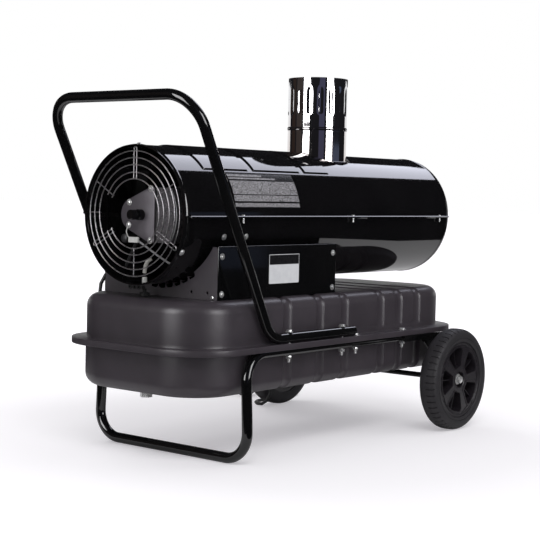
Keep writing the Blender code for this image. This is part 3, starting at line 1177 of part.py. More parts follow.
def make_pump():
    cover_back = PUMP_COVER_FROM_LEFT + PUMP_COVER_THICKNESS
    pump_front = cover_back + GAP
    pump_back = pump_front + PUMP_LENGTH
    plate("pump_cover", [pump_outline(0), circle((0, 0), KNOB_STUD_RADIUS + GAP, 12)],
          PUMP_COVER_THICKNESS,
          (from_left(PUMP_COVER_FROM_LEFT + PUMP_COVER_THICKNESS / 2), 0, AXIS_Z), "X", BOX_GREY)
    body = plate("pump_body", [pump_outline(PUMP_BODY_INSET)], PUMP_LENGTH,
                 (from_left(pump_front + PUMP_LENGTH / 2), 0, AXIS_Z), "X", DARK_METAL)
    stud_hole = rod("stud_hole", (from_left(pump_front - OVERRUN), 0, AXIS_Z),
                    (from_left(pump_front + KNOB_STUD_DEPTH + GAP), 0, AXIS_Z), KNOB_STUD_RADIUS + GAP,
                    12)
    combine(body, "DIFFERENCE", [stud_hole])
    side_end = math.asin(FILTER_HALF_HEIGHT / FILTER_RADIUS)
    filter_edge = PUMP_NEAR_EDGE + PUMP_BODY_INSET - GAP
    outline = [(filter_edge, FILTER_HALF_HEIGHT)] + arc((0, 0), FILTER_RADIUS,
                                                        180 - math.degrees(side_end),
                                                        180 + math.degrees(side_end), 8)
    outline += [(filter_edge, -FILTER_HALF_HEIGHT)]
    plate("filter_cover", [outline], FILTER_LENGTH, (from_left(pump_back - FILTER_LENGTH / 2), 0, AXIS_Z),
          "X", FILTER_FELT)
    seat = PUMP_COVER_FROM_LEFT - GAP
    neck = seat - KNOB_BASE_LENGTH
    grip = neck - KNOB_NECK_LENGTH
    tip = grip - KNOB_GRIP_LENGTH
    ease = KNOB_NECK_LENGTH / 4
    axial("pressure_knob", [(0, pump_front + KNOB_STUD_DEPTH),
                            (KNOB_STUD_RADIUS, pump_front + KNOB_STUD_DEPTH),
                            (KNOB_STUD_RADIUS, seat), (KNOB_BASE_RADIUS, seat), (KNOB_BASE_RADIUS, neck),
                            (KNOB_NECK_RADIUS, neck), (KNOB_NECK_RADIUS, grip), (KNOB_GRIP_RADIUS, grip),
                            (KNOB_GRIP_RADIUS, tip + ease), (KNOB_GRIP_RADIUS - ease, tip), (0, tip)], 14,
          MOULDED_BLACK)
    return pump_back + GAP


def make_motor(front):
    back = front + MOTOR_LENGTH
    step = MOTOR_RADIUS / 6
    bore = SHAFT_RADIUS + GAP
    axial("motor", [(0, back - SHAFT_IN_MOTOR), (bore, back - SHAFT_IN_MOTOR), (bore, back),
                    (MOTOR_RADIUS / 3, back),
                            (MOTOR_RADIUS / 3, back - step), (MOTOR_RADIUS - step, back - step),
                            (MOTOR_RADIUS, back - 2 * step), (MOTOR_RADIUS, front + 2 * step),
                            (MOTOR_RADIUS - step, front), (0, front)], 18, DARK_METAL)
    ring_outer = MOTOR_RADIUS + 4 * GAP + BOX_SHEET * 4
    arm_half = MOTOR_RADIUS * MOTOR_ARM_SHARE
    tip = math.sqrt((SHELL_INNER - GAP) ** 2 - arm_half ** 2)
    outline = []
    lean = math.degrees(math.asin(arm_half / ring_outer))
    for number in range(3):
        angle_deg = 90 + 120 * number
        along = (math.cos(math.radians(angle_deg)), math.sin(math.radians(angle_deg)))
        across = (-along[1], along[0])
        outline += [(along[0] * tip - across[0] * arm_half, along[1] * tip - across[1] * arm_half),
                    (along[0] * tip + across[0] * arm_half, along[1] * tip + across[1] * arm_half)]
        outline += arc((0, 0), ring_outer, angle_deg + lean, angle_deg + 120 - lean, 6)
    middle = front + MOTOR_LENGTH * MOTOR_BRACKET_SHARE
    plate("motor_bracket", [outline, circle((0, 0), clear_of(MOTOR_RADIUS, 18), 18)], 2 * BOX_SHEET,
          (from_left(middle), 0, AXIS_Z),
          "X", DARK_METAL)
    shaft_end = FAN_FROM_LEFT + FAN_HUB_LENGTH * SHAFT_IN_HUB_SHARE
    axial("motor_shaft", [(0, shaft_end), (SHAFT_RADIUS, shaft_end),
                          (SHAFT_RADIUS, back - SHAFT_IN_MOTOR + GAP),
                          (0, back - SHAFT_IN_MOTOR + GAP)], 16, ZINC)
    make_fan(shaft_end)


def make_fan(shaft_end):
    hub_back = FAN_FROM_LEFT
    hub_front = hub_back + FAN_HUB_LENGTH
    bore = SHAFT_RADIUS + GAP
    ease = FAN_HUB_RADIUS / 4
    fan = axial("fan", [(0, hub_front), (FAN_HUB_RADIUS - ease, hub_front),
                        (FAN_HUB_RADIUS, hub_front - ease),
                                 (FAN_HUB_RADIUS, hub_back), (bore, hub_back), (bore, shaft_end + GAP),
                                 (0, shaft_end + GAP)], 25, MOULDED_BLACK)
    root = FAN_HUB_RADIUS - ease / 2
    for number in range(FAN_BLADES):
        shape = bmesh.new()
        bmesh.ops.create_grid(shape, x_segments=3, y_segments=1, size=0.5)
        for vert in shape.verts:
            across = vert.co.x + 0.5
            out = vert.co.y + 0.5
            radius = root + (FAN_RADIUS - root) * out
            width_share = BLADE_ROOT_SHARE + (1 - BLADE_ROOT_SHARE) * math.sin(math.pi * out / 2)
            spread = math.radians(BLADE_SWEEP_DEG) * width_share
            angle = 2 * math.pi * number / FAN_BLADES + spread * (across - 0.5) + BLADE_LEAN * out
            rise = BLADE_RISE * (1 - BLADE_WASHOUT_SHARE * out) * (across - 0.5)
            camber = BLADE_RISE * BLADE_CAMBER_SHARE * math.sin(math.pi * across)
            vert.co = (hub_back + FAN_HUB_LENGTH / 2 + rise + camber, radius * math.cos(angle),
                       radius * math.sin(angle))
        blade = add_object(f"fan_blade_{number}", mesh_from(shape), None, True)
        blade.location = (BODY_LEFT, 0, AXIS_Z)
        wall = blade.modifiers.new("sheet", "SOLIDIFY")
        wall.thickness = BLADE_SHEET
        wall.offset = 0
        combine(fan, "UNION", [blade])


def make_chamber():
    back = CHAMBER_FROM_LEFT
    front = back + CHAMBER_LENGTH
    wall = CHAMBER_WALL
    radius = CHAMBER_RADIUS
    dome = CHAMBER_DOME
    inner = radius - wall
    outer_arc = [(radius * math.sin(a), front - dome + dome * math.cos(a)) for a in dome_angles(3)]
    inner_arc = [(inner * math.sin(a),
                  front - dome + (dome - wall) * math.cos(a)) for a in dome_angles(3)]
    profile = ([(0, front)] + outer_arc + [(radius, back), (CHAMBER_MOUTH, back),
                                           (CHAMBER_MOUTH, back + wall),
                                           (inner, back + wall)] + inner_arc[::-1] + [(0, front - wall)])
    drum = axial("combustion_chamber", profile, 20, HEAT_STEEL)
    stub_radius = FLUE_RADIUS - FLUE_WALL - GAP
    stub_top = AXIS_Z + BODY_RADIUS + FLUE_SUNK
    stub = rod("flue_stub", (FLUE_X, 0, AXIS_Z + radius * STUB_ROOT_SHARE), (FLUE_X, 0, stub_top),
               stub_radius, 20)
    foot_tip = math.sqrt((SHELL_INNER - GAP) ** 2 - (CHAMBER_FOOT_WIDTH / 2) ** 2)
    tools = [stub]
    for place in (back + CHAMBER_FEET_FROM_ENDS, front - CHAMBER_FEET_FROM_ENDS):
        for number in range(3):
            angle = math.radians(-90 + 120 * number)
            foot = block(f"chamber_foot_{number}_{round(place / CHAMBER_LENGTH)}",
                         (-CHAMBER_FOOT_WIDTH / 2, -CHAMBER_FOOT_WIDTH / 2, radius - wall / 2),
                         (CHAMBER_FOOT_WIDTH / 2, CHAMBER_FOOT_WIDTH / 2, foot_tip))
            middle = (radius - wall / 2 + foot_tip) / 2
            foot.location = (from_left(place), middle * math.cos(angle),
                             AXIS_Z + middle * math.sin(angle))
            foot.rotation_euler = (angle - math.pi / 2, 0, 0)
            tools.append(foot)
    combine(drum, "UNION", tools)
    bore = rod("flue_bore", (FLUE_X, 0, AXIS_Z), (FLUE_X, 0, stub_top + OVERRUN),
               stub_radius - FLUE_WALL, 20)
    combine(drum, "DIFFERENCE", [bore])
    burner_back = back - BURNER_AHEAD
    burner_front = burner_back + BURNER_LENGTH
    mouth = inside(CHAMBER_MOUTH, 20)
    axial("burner_head", [(0, burner_front - wall * 6), (mouth * NOZZLE_SHARE, burner_front - wall * 6),
                          (mouth * NOZZLE_CONE_SHARE, burner_front), (mouth, burner_front),
                          (mouth, back - GAP),
                          (mouth * BURNER_FLANGE_SHARE, back - GAP),
                          (mouth * BURNER_FLANGE_SHARE, back - 3 * wall),
                          (mouth * BURNER_BODY_SHARE, back - 3 * wall),
                          (mouth * BURNER_BODY_SHARE, burner_back), (0, burner_back)], 14, DARK_METAL)
    return burner_back


def dome_angles(steps):
    return [math.pi / 2 * step / steps for step in range(1, steps + 1)]


def make_hoses(burner_back, pump_back):
    low = SHELL_INNER - HOSE_RADIUS - HOSE_OFF_SHELL
    start_z = TANK_TOP_Z + 2 * GAP + OUTLET_RISE
    entry = from_left(burner_back - GAP)
    turn_x = entry - 3 * HOSE_BEND
    burner_z = AXIS_Z - CHAMBER_MOUTH * FUEL_PORT_SHARE
    channel_z = AXIS_Z - math.sqrt(low ** 2 - HOSE_Y ** 2)
    fuel = bent([(HOSE_X, HOSE_Y, start_z), (HOSE_X, HOSE_Y, channel_z), (turn_x, HOSE_Y, channel_z),
                 (turn_x, HOSE_Y, burner_z), (entry, HOSE_Y, burner_z)], (HOSE_BEND,) * 3, 3)
    tube("fuel_hose", fuel, HOSE_RADIUS, CLEAR_HOSE, 1)
    angle = math.radians(AIR_HOSE_DEG)
    air_y = low * math.cos(angle)
    air_z = AXIS_Z + low * math.sin(angle)
    pump_x = from_left(pump_back - PUMP_LENGTH / 2)
    port = PUMP_HALF_HEIGHT * AIR_PORT_SHARE
    start = (pump_x, port * math.cos(angle), AXIS_Z + port * math.sin(angle))
    burner_y = CHAMBER_MOUTH * AIR_INLET_SHARE
    air = bent([start, (pump_x, air_y, air_z), (turn_x, air_y, air_z),
                (turn_x, burner_y, AXIS_Z - burner_y),
                (entry, burner_y, AXIS_Z - burner_y)], (HOSE_BEND,) * 3, 3)
    tube("air_hose", air, HOSE_RADIUS, MOULDED_BLACK, 1)


def smooth(points, count):
    """Evenly spaced points on a smooth curve through the points given."""
    places = [Vector(point) for point in points]
    places = [2 * places[0] - places[1]] + places + [2 * places[-1] - places[-2]]
    fine = []
    for before, start, end, after in zip(places, places[1:], places[2:], places[3:]):
        for step in range(SMOOTH_STEPS):
            share = step / SMOOTH_STEPS
            fine.append(0.5 * (2 * start + (end - before) * share
                               + (2 * before - 5 * start + 4 * end - after) * share ** 2
                               + (3 * start - before - 3 * end + after) * share ** 3))
    fine.append(places[-2])
    lengths = [0]
    for first, second in zip(fine, fine[1:]):
        lengths.append(lengths[-1] + (second - first).length)
    even = []
    index = 0
    for step in range(count):
        goal = lengths[-1] * step / (count - 1)
        while index < len(fine) - 2 and lengths[index + 1] < goal:
            index += 1
        share = (goal - lengths[index]) / (lengths[index + 1] - lengths[index])
        even.append(fine[index].lerp(fine[index + 1], share))
    return even, lengths[-1]


def coil_point(turn):
    """The tube's middle after so many turns: inwards on the floor, then up and outwards."""
    inward = min(turn, COIL_LAYER_TURNS + COIL_CLIMB_TURNS)
    outward = max(turn - COIL_LAYER_TURNS - COIL_CLIMB_TURNS, 0)
    radius = COIL_RADIUS - COIL_PITCH * inward + COIL_TOP_PITCH * outward
    climb = min(max(turn - COIL_LAYER_TURNS, 0) / COIL_CLIMB_TURNS, 1)
    height = CORD_RADIUS + GAP + COIL_PITCH * (3 * climb ** 2 - 2 * climb ** 3)
    angle = 2 * math.pi * turn - math.pi / 2
    return Vector((COIL_CENTRE[0] + radius * math.cos(angle), COIL_CENTRE[1] + radius * math.sin(angle),
                   height))


def make_cord():
    path, length = smooth(CORD_ROUTE, CORD_POINTS)
    steps = int(COIL_TURNS * COIL_POINTS_A_TURN)
    loops = [coil_point(step / COIL_POINTS_A_TURN) for step in range(steps + 1)]
    path[-1] = loops[0] - Vector((2 * GAP, 0, 0))
    tube("power_cord", path, CORD_RADIUS, MOULDED_BLACK, 1)
    tube("cord_coil", loops, CORD_RADIUS, MOULDED_BLACK, 1)
    coil_length = sum((second - first).length for first, second in zip(loops, loops[1:]))
    print("cord free", round(length, 4), "m, coil", round(coil_length, 4), "m, gap between turns",
          round(coil_gap() * 1000, 2), "mm")
    end = loops[-1]
    start = end.x - 3 * GAP
    taper = start - PLUG_TAPER
    face = taper - PLUG_LENGTH
    ease = PLUG_RADIUS / 6
    height = PLUG_RADIUS + GAP
    plug = turned("power_plug", [(0, taper - OVERRUN), (PLUG_RADIUS - 2 * ease, taper - OVERRUN / 2),
                                 (PLUG_RADIUS, taper - OVERRUN), (PLUG_RADIUS, face), (0, face)],
                  (0, end.y, height), "X", 20, MOULDED_BLACK)
    relief = tube("plug_relief", [(start, end.y, end.z), (start - PLUG_TAPER / 2, end.y,
                                                          (2 * end.z + height) / 3),
                                  (taper, end.y, height), (taper - 2 * OVERRUN, end.y, height)],
                                  CORD_RADIUS, None, 1,
                  radius_shares=(1, 1, PLUG_NECK_SHARE, PLUG_NECK_SHARE))
    pins = [rod(f"plug_pin_{side}", (face + OVERRUN, end.y + side * PIN_HALF_PITCH, height),
                (face - PIN_LENGTH, end.y + side * PIN_HALF_PITCH, height), PIN_RADIUS,
                8) for side in (-1, 1)]
    combine(plug, "UNION", [relief, *pins])


def coil_gap():
    """The least gap between the coil's turns, measured from point to point between unlike turns."""
    steps = 4 * COIL_POINTS_A_TURN
    points = [coil_point(step / steps) for step in range(int(COIL_TURNS * steps) + 1)]
    apart = steps // 2
    return min((a - b).length for i, a in enumerate(points) for b in points[i + apart:]) - 2 * CORD_RADIUS


make_shells()
make_flue()
make_tank()
make_tank_fittings()
make_frame()
make_handle()
make_bolts()
make_axle()
make_control_box()
make_controls()
make_electrics()
make_guard()
motor_front = make_pump()
make_motor(motor_front)
burner_back = make_chamber()
make_hoses(burner_back, motor_front)
make_cord()
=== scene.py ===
import json
from math import atan2, cos, degrees, floor, hypot, pi, radians, sin, tan

import bpy
from mathutils import Matrix, Vector

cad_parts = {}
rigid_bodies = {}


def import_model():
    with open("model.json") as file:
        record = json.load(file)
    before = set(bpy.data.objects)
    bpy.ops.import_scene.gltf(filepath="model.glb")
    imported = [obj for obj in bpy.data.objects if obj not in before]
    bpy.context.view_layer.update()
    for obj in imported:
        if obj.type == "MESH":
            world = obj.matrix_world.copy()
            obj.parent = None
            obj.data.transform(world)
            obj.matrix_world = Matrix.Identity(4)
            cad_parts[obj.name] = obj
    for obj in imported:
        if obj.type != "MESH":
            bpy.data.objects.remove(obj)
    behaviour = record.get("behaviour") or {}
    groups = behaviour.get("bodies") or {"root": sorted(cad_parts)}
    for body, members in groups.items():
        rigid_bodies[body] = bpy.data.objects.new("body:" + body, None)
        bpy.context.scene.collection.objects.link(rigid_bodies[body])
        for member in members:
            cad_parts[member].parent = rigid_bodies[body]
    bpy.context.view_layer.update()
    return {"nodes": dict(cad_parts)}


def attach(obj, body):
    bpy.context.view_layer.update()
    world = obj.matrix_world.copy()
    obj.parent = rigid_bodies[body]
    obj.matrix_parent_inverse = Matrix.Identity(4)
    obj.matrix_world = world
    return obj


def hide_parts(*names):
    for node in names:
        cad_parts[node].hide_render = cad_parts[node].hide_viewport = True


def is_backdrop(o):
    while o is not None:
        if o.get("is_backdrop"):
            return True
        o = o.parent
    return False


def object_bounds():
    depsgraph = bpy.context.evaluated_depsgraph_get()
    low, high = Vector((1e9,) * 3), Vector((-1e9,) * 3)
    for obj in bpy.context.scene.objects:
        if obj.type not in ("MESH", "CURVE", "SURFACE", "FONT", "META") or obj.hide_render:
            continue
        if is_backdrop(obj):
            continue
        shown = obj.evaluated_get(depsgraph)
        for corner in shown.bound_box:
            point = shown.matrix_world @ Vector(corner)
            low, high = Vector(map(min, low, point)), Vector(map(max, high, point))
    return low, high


for spare in list(bpy.data.objects):
    bpy.data.objects.remove(spare)
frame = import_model()
print("stage: frame loaded,", len(frame["nodes"]), "solids")

# Sizes that several pieces share, all in metres
heater = {"left": -0.3923, "length": 0.835, "radius": 0.1225, "axisZ": 0.4323, "wall": 0.0015,
    "gap": 0.0003, "railY": 0.1765, "railZ": 0.1939, "handleZ": 0.2168, "flangeZ": 0.207, "tankTop": 0.2875,
    "tankBottom": 0.1217, "axleX": 0.3105, "axleZ": 0.1033, "flueX": 0.13, "boxHalf": 0.1393,
    "boxFloor": 0.2878, "boxTop": 0.3798, "boxLeft": -0.3234, "boxRight": 0.0162}
axisZ, flueX, railY = heater["axisZ"], heater["flueX"], heater["railY"]
boxHalf, boxFloor, boxLeft, boxRight = (heater[key] for key in ("boxHalf", "boxFloor", "boxLeft", "boxRight"))


def alongBody(distance):  # x of a place so far from the intake rim
    return heater["left"] + distance


def shift(place):
    return Matrix.Translation(place)


def swing(deg, axis):
    return Matrix.Rotation(radians(deg), 4, axis)


# Hands-on helpers for edit mode

def dropSelection():
    if bpy.context.object and bpy.context.object.mode != "OBJECT":
        bpy.ops.object.mode_set(mode="OBJECT")
    bpy.ops.object.select_all(action="DESELECT")


def takeOnly(piece):
    dropSelection()
    piece.hide_viewport = False
    piece.select_set(True)
    bpy.context.view_layer.objects.active = piece


def called(name):  # names what an operator has just added, with its place put into its mesh
    piece = bpy.context.object
    piece.name = name
    piece.data.name = name
    bpy.ops.object.transform_apply(location=True, rotation=True, scale=True)
    return piece


def pick(piece, kind, test):  # selects what passes the test, by place or normal, and stays in edit mode
    takeOnly(piece)
    bpy.ops.object.mode_set(mode="EDIT")
    bpy.ops.mesh.select_mode(type=kind)
    bpy.ops.mesh.select_all(action="DESELECT")
    bpy.ops.object.mode_set(mode="OBJECT")
    mesh = piece.data
    if kind == "VERT":
        for vert in mesh.vertices:
            vert.select = bool(test(vert.co))
    elif kind == "EDGE":
        for edge in mesh.edges:
            edge.select = bool(test(*(mesh.vertices[end].co for end in edge.vertices)))
    else:
        for face in mesh.polygons:
            face.select = bool(test(face.center, face.normal))
    bpy.ops.object.mode_set(mode="EDIT")


def pickAll(piece):
    takeOnly(piece)
    bpy.ops.object.mode_set(mode="EDIT")
    bpy.ops.mesh.select_mode(type="VERT")
    bpy.ops.mesh.select_all(action="SELECT")


def leaveEdit():
    bpy.ops.object.mode_set(mode="OBJECT")


def insetFaces(piece, test, thickness, depth):
    pick(piece, "FACE", test)
    bpy.ops.mesh.inset(thickness=thickness, depth=depth)
    leaveEdit()


def deleteFaces(piece, test):
    pick(piece, "FACE", test)
    bpy.ops.mesh.delete(type="FACE")
    leaveEdit()


def bevelEdges(piece, test, offset, segments):
    pick(piece, "EDGE", test)
    bpy.ops.mesh.bevel(offset=offset, segments=segments, affect="EDGES", clamp_overlap=False)
    leaveEdit()


def scaleVerts(piece, test, factors, centre):
    pick(piece, "VERT", test)
    bpy.ops.transform.resize(value=factors, center_override=centre)
    leaveEdit()


def sliceAt(piece, place, normal, clearInner=False):
    pickAll(piece)
    bpy.ops.mesh.bisect(plane_co=place, plane_no=normal, clear_inner=clearInner)
    leaveEdit()


def turnRight(piece):  # doubles merged, then faces turned outwards
    pickAll(piece)
    bpy.ops.mesh.remove_doubles(threshold=0.00001)
    bpy.ops.mesh.normals_make_consistent(inside=False)
    leaveEdit()


def applyAll(piece):
    takeOnly(piece)
    for modifier in list(piece.modifiers):
        bpy.ops.object.modifier_apply(modifier=modifier.name)


def cutAway(piece, *tools):
    for tool in tools:
        cut = piece.modifiers.new("cut", "BOOLEAN")
        cut.operation = "DIFFERENCE"
        cut.object = tool
        cut.solver = "EXACT"
        applyAll(piece)
        bpy.data.objects.remove(tool)
    return piece


def softenEdges(piece, width, segments=2, limitDeg=35):
    soft = piece.modifiers.new("soft", "BEVEL")
    soft.width = width
    soft.segments = segments
    soft.limit_method = "ANGLE"
    soft.angle_limit = radians(limitDeg)
    soft.harden_normals = False
    applyAll(piece)


def thicken(piece, thickness, offset=-1, even=False):
    sheet = piece.modifiers.new("sheet", "SOLIDIFY")
    sheet.thickness = thickness
    sheet.offset = offset
    sheet.use_even_offset = even
    applyAll(piece)


def joined(name, pieces):
    takeOnly(pieces[0])
    for other in pieces[1:]:
        other.select_set(True)
    if len(pieces) > 1:
        bpy.ops.object.join()
    whole = bpy.context.object
    whole.name = name
    whole.data.name = name
    return whole


def copied(piece, name, move):  # a copy with its own mesh, moved
    mesh = piece.data.copy()
    mesh.transform(move)
    mesh.name = name
    made = bpy.data.objects.new(name, mesh)
    bpy.context.scene.collection.objects.link(made)
    return made


def finishPiece(piece, finish, slot, nodes, smoothDeg=38, body="chassis"):  # nodes: names with spaces between
    takeOnly(piece)
    bpy.ops.object.transform_apply(location=True, rotation=True, scale=True)
    bpy.ops.object.shade_smooth_by_angle(angle=radians(smoothDeg))
    piece.data.materials.clear()
    piece.data.materials.append(finishes[finish])
    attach(piece, body)
    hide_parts(*nodes.split())
    dropSelection()
    return piece


def boxOf(name, low, high, bevel=0):
    low, high = Vector(low), Vector(high)
    dropSelection()
    bpy.ops.mesh.primitive_cube_add(size=1, location=(low + high) / 2, scale=high - low)
    piece = called(name)
    if bevel:
        pickAll(piece)
        bpy.ops.mesh.bevel(offset=bevel, segments=2, affect="EDGES")
        leaveEdit()
    return piece


def barrel(name, start, end, radius, sides=48):
    start, end = Vector(start), Vector(end)
    dropSelection()
    bpy.ops.mesh.primitive_cylinder_add(vertices=sides, radius=radius, depth=(end - start).length,
        end_fill_type="NGON", location=(start + end) / 2,
        rotation=(end - start).to_track_quat("Z", "Y").to_euler())
    return called(name)


def drawnLine(name, places):  # a chain of edges through the places, left selected in edit mode
    dropSelection()
    bpy.ops.mesh.primitive_plane_add(size=0.001, location=places[0])
    piece = called(name)
    pickAll(piece)
    bpy.ops.mesh.merge(type="CENTER")
    for before, after in zip(places, places[1:]):
        bpy.ops.mesh.extrude_region_move(TRANSFORM_OT_translate={"value": after - before})
    bpy.ops.mesh.select_all(action="SELECT")
    return piece


axes = {"X": (1, 0, 0), "Y": (0, 1, 0), "Z": (0, 0, 1), "-X": (-1, 0, 0), "-Y": (0, -1, 0)}


def spun(name, outline, origin, axis="Z", steps=64):  # an outline of (radius, height) turned round an axis
    along, out = Vector(axes[axis]), Vector((1, 0, 0) if axis == "Z" else (0, 0, 1))
    piece = drawnLine(name, [Vector(origin) + along * height + out * radius for radius, height in outline])
    bpy.ops.mesh.spin(steps=steps, angle=2 * pi, center=origin, axis=along)
    leaveEdit()
    turnRight(piece)
    return piece


def addLine(curve, places, cyclic=False):
    line = curve.splines.new("POLY")
    line.points.add(len(places) - 1)
    for spot, place in zip(line.points, places):
        spot.co = (*place, 1)
    line.use_cyclic_u = cyclic
    return line


def newCurve(name, dimensions, bevel, detail):
    curve = bpy.data.curves.new(name, "CURVE")
    curve.dimensions = dimensions
    curve.bevel_depth = bevel
    curve.bevel_resolution = detail
    piece = bpy.data.objects.new(name, curve)
    bpy.context.scene.collection.objects.link(piece)
    return piece, curve


def curveToMesh(piece):
    takeOnly(piece)
    bpy.ops.object.convert(target="MESH")
    return bpy.context.object


def tubeAlong(name, path, radius, detail=6, cyclic=False):
    piece, curve = newCurve(name, "3D", radius, detail)
    curve.use_fill_caps = not cyclic
    addLine(curve, path, cyclic)
    piece = curveToMesh(piece)
    turnRight(piece)
    return piece


facingTurns = {"Z": Matrix.Identity(4),
    "X": Matrix(((0, 0, 1, 0), (1, 0, 0, 0), (0, 1, 0, 0), (0, 0, 0, 1))),
    "Y": Matrix(((1, 0, 0, 0), (0, 0, -1, 0), (0, 1, 0, 0), (0, 0, 0, 1)))}


def sheetOf(name, outlines, thickness, origin, facing="X", bevel=0):  # a flat sheet cut to an outline
    piece, curve = newCurve(name, "2D", bevel, 1)
    curve.fill_mode = "BOTH"
    curve.extrude = thickness / 2 - bevel
    for outline in outlines:
        addLine(curve, [(*place, 0) for place in outline], True)
    piece = curveToMesh(piece)
    piece.data.transform(shift(origin) @ facingTurns[facing])
    turnRight(piece)
    return piece


def arcOf(middle, radius, startDeg, endDeg, steps):
    spots = [radians(startDeg + (endDeg - startDeg) * step / steps) for step in range(steps + 1)]
    return [(middle[0] + radius * cos(a), middle[1] + radius * sin(a)) for a in spots]


def ringOf(middle, radius, steps):
    return arcOf(middle, radius, 0, 360, steps)[:-1]


def bentPath(corners, bends, steps=14):  # straight runs with an arc at each inner corner
    places = [Vector(corner) for corner in corners]
    path = [places[0]]
    for before, corner, after, radius in zip(places, places[1:], places[2:], bends):
        come = (before - corner).normalized()
        leave = (after - corner).normalized()
        half = come.angle(leave) / 2
        middle = corner + (come + leave).normalized() * (radius / sin(half))
        start = corner + come * (radius / tan(half)) - middle
        end = corner + leave * (radius / tan(half)) - middle
        sweep = start.angle(end)
        for step in range(steps + 1):
            share = step / steps
            swung = start * sin((1 - share) * sweep) + end * sin(share * sweep)
            path.append(middle + swung / sin(sweep))
    path.append(places[-1])
    return path


def roundedLoop(corners, bends, steps=8):
    loop = [Vector((*corner, 0)) for corner in corners]
    middle = (loop[-1] + loop[0]) / 2
    return [(spot.x, spot.y) for spot in bentPath([middle, *loop, middle], bends, steps)[1:-1]]


def sectorAt(first, second, stepDeg):  # reach from an axis, and the number of the sector round it
    return hypot(first, second), floor(degrees(atan2(first, second)) / stepDeg)


# Finishes: every one has its own grain, tone and roughness, read from Object coordinates

def addNode(tree, kind, output, feeds, values=(), **settings):
    node = tree.nodes.new("ShaderNode" + kind)
    for name, value in settings.items():
        setattr(node, name, value)
    for socket, value in dict(values).items():
        node.inputs[socket].default_value = value
    for socket, source in feeds.items():
        tree.links.new(source, node.inputs[socket])
    return node.outputs[output]


def nodeSet(name):
    material = bpy.data.materials.new(name)
    material.use_nodes = True
    tree = material.node_tree
    return material, tree, tree.nodes["Principled BSDF"], addNode(tree, "TexCoord", "Object", {})


def cloud(tree, place, scale, detail=3, stretch=None, roughness=0.5):
    if stretch:
        place = addNode(tree, "Mapping", "Vector", {"Vector": place}, {"Scale": stretch})
    return addNode(tree, "TexNoise", "Fac", {"Vector": place},
        {"Scale": scale, "Detail": detail, "Roughness": roughness})


def between(tree, factor, low, high, fromLow=0.3, fromHigh=0.7):
    return addNode(tree, "MapRange", "Result", {"Value": factor},
        {"From Min": fromLow, "From Max": fromHigh, "To Min": low, "To Max": high})


def blendTones(tree, factor, low, high):
    return addNode(tree, "Mix", "Result", {"Factor": factor}, {"A": (*low, 1), "B": (*high, 1)},
        data_type="RGBA")


def roughened(tree, shader, height, strength, distance):
    normal = addNode(tree, "Bump", "Normal", {"Height": height}, {"Strength": strength, "Distance": distance})
    tree.links.new(normal, shader.inputs["Normal"])


def makeFinish(name, low, high, rough, grain, patch, metal, bump, others=()):
    material, tree, shader, place = nodeSet(name)
    patches = between(tree, cloud(tree, place, patch, 4), 0, 1)
    tree.links.new(blendTones(tree, patches, low, high), shader.inputs["Base Color"])
    fine = cloud(tree, place, grain)
    tree.links.new(between(tree, fine, *rough), shader.inputs["Roughness"])
    roughened(tree, shader, fine, *bump)
    for socket, value in (("Metallic", metal), *others):
        shader.inputs[socket].default_value = value
    material.diffuse_color = (*high, 1)
    return material


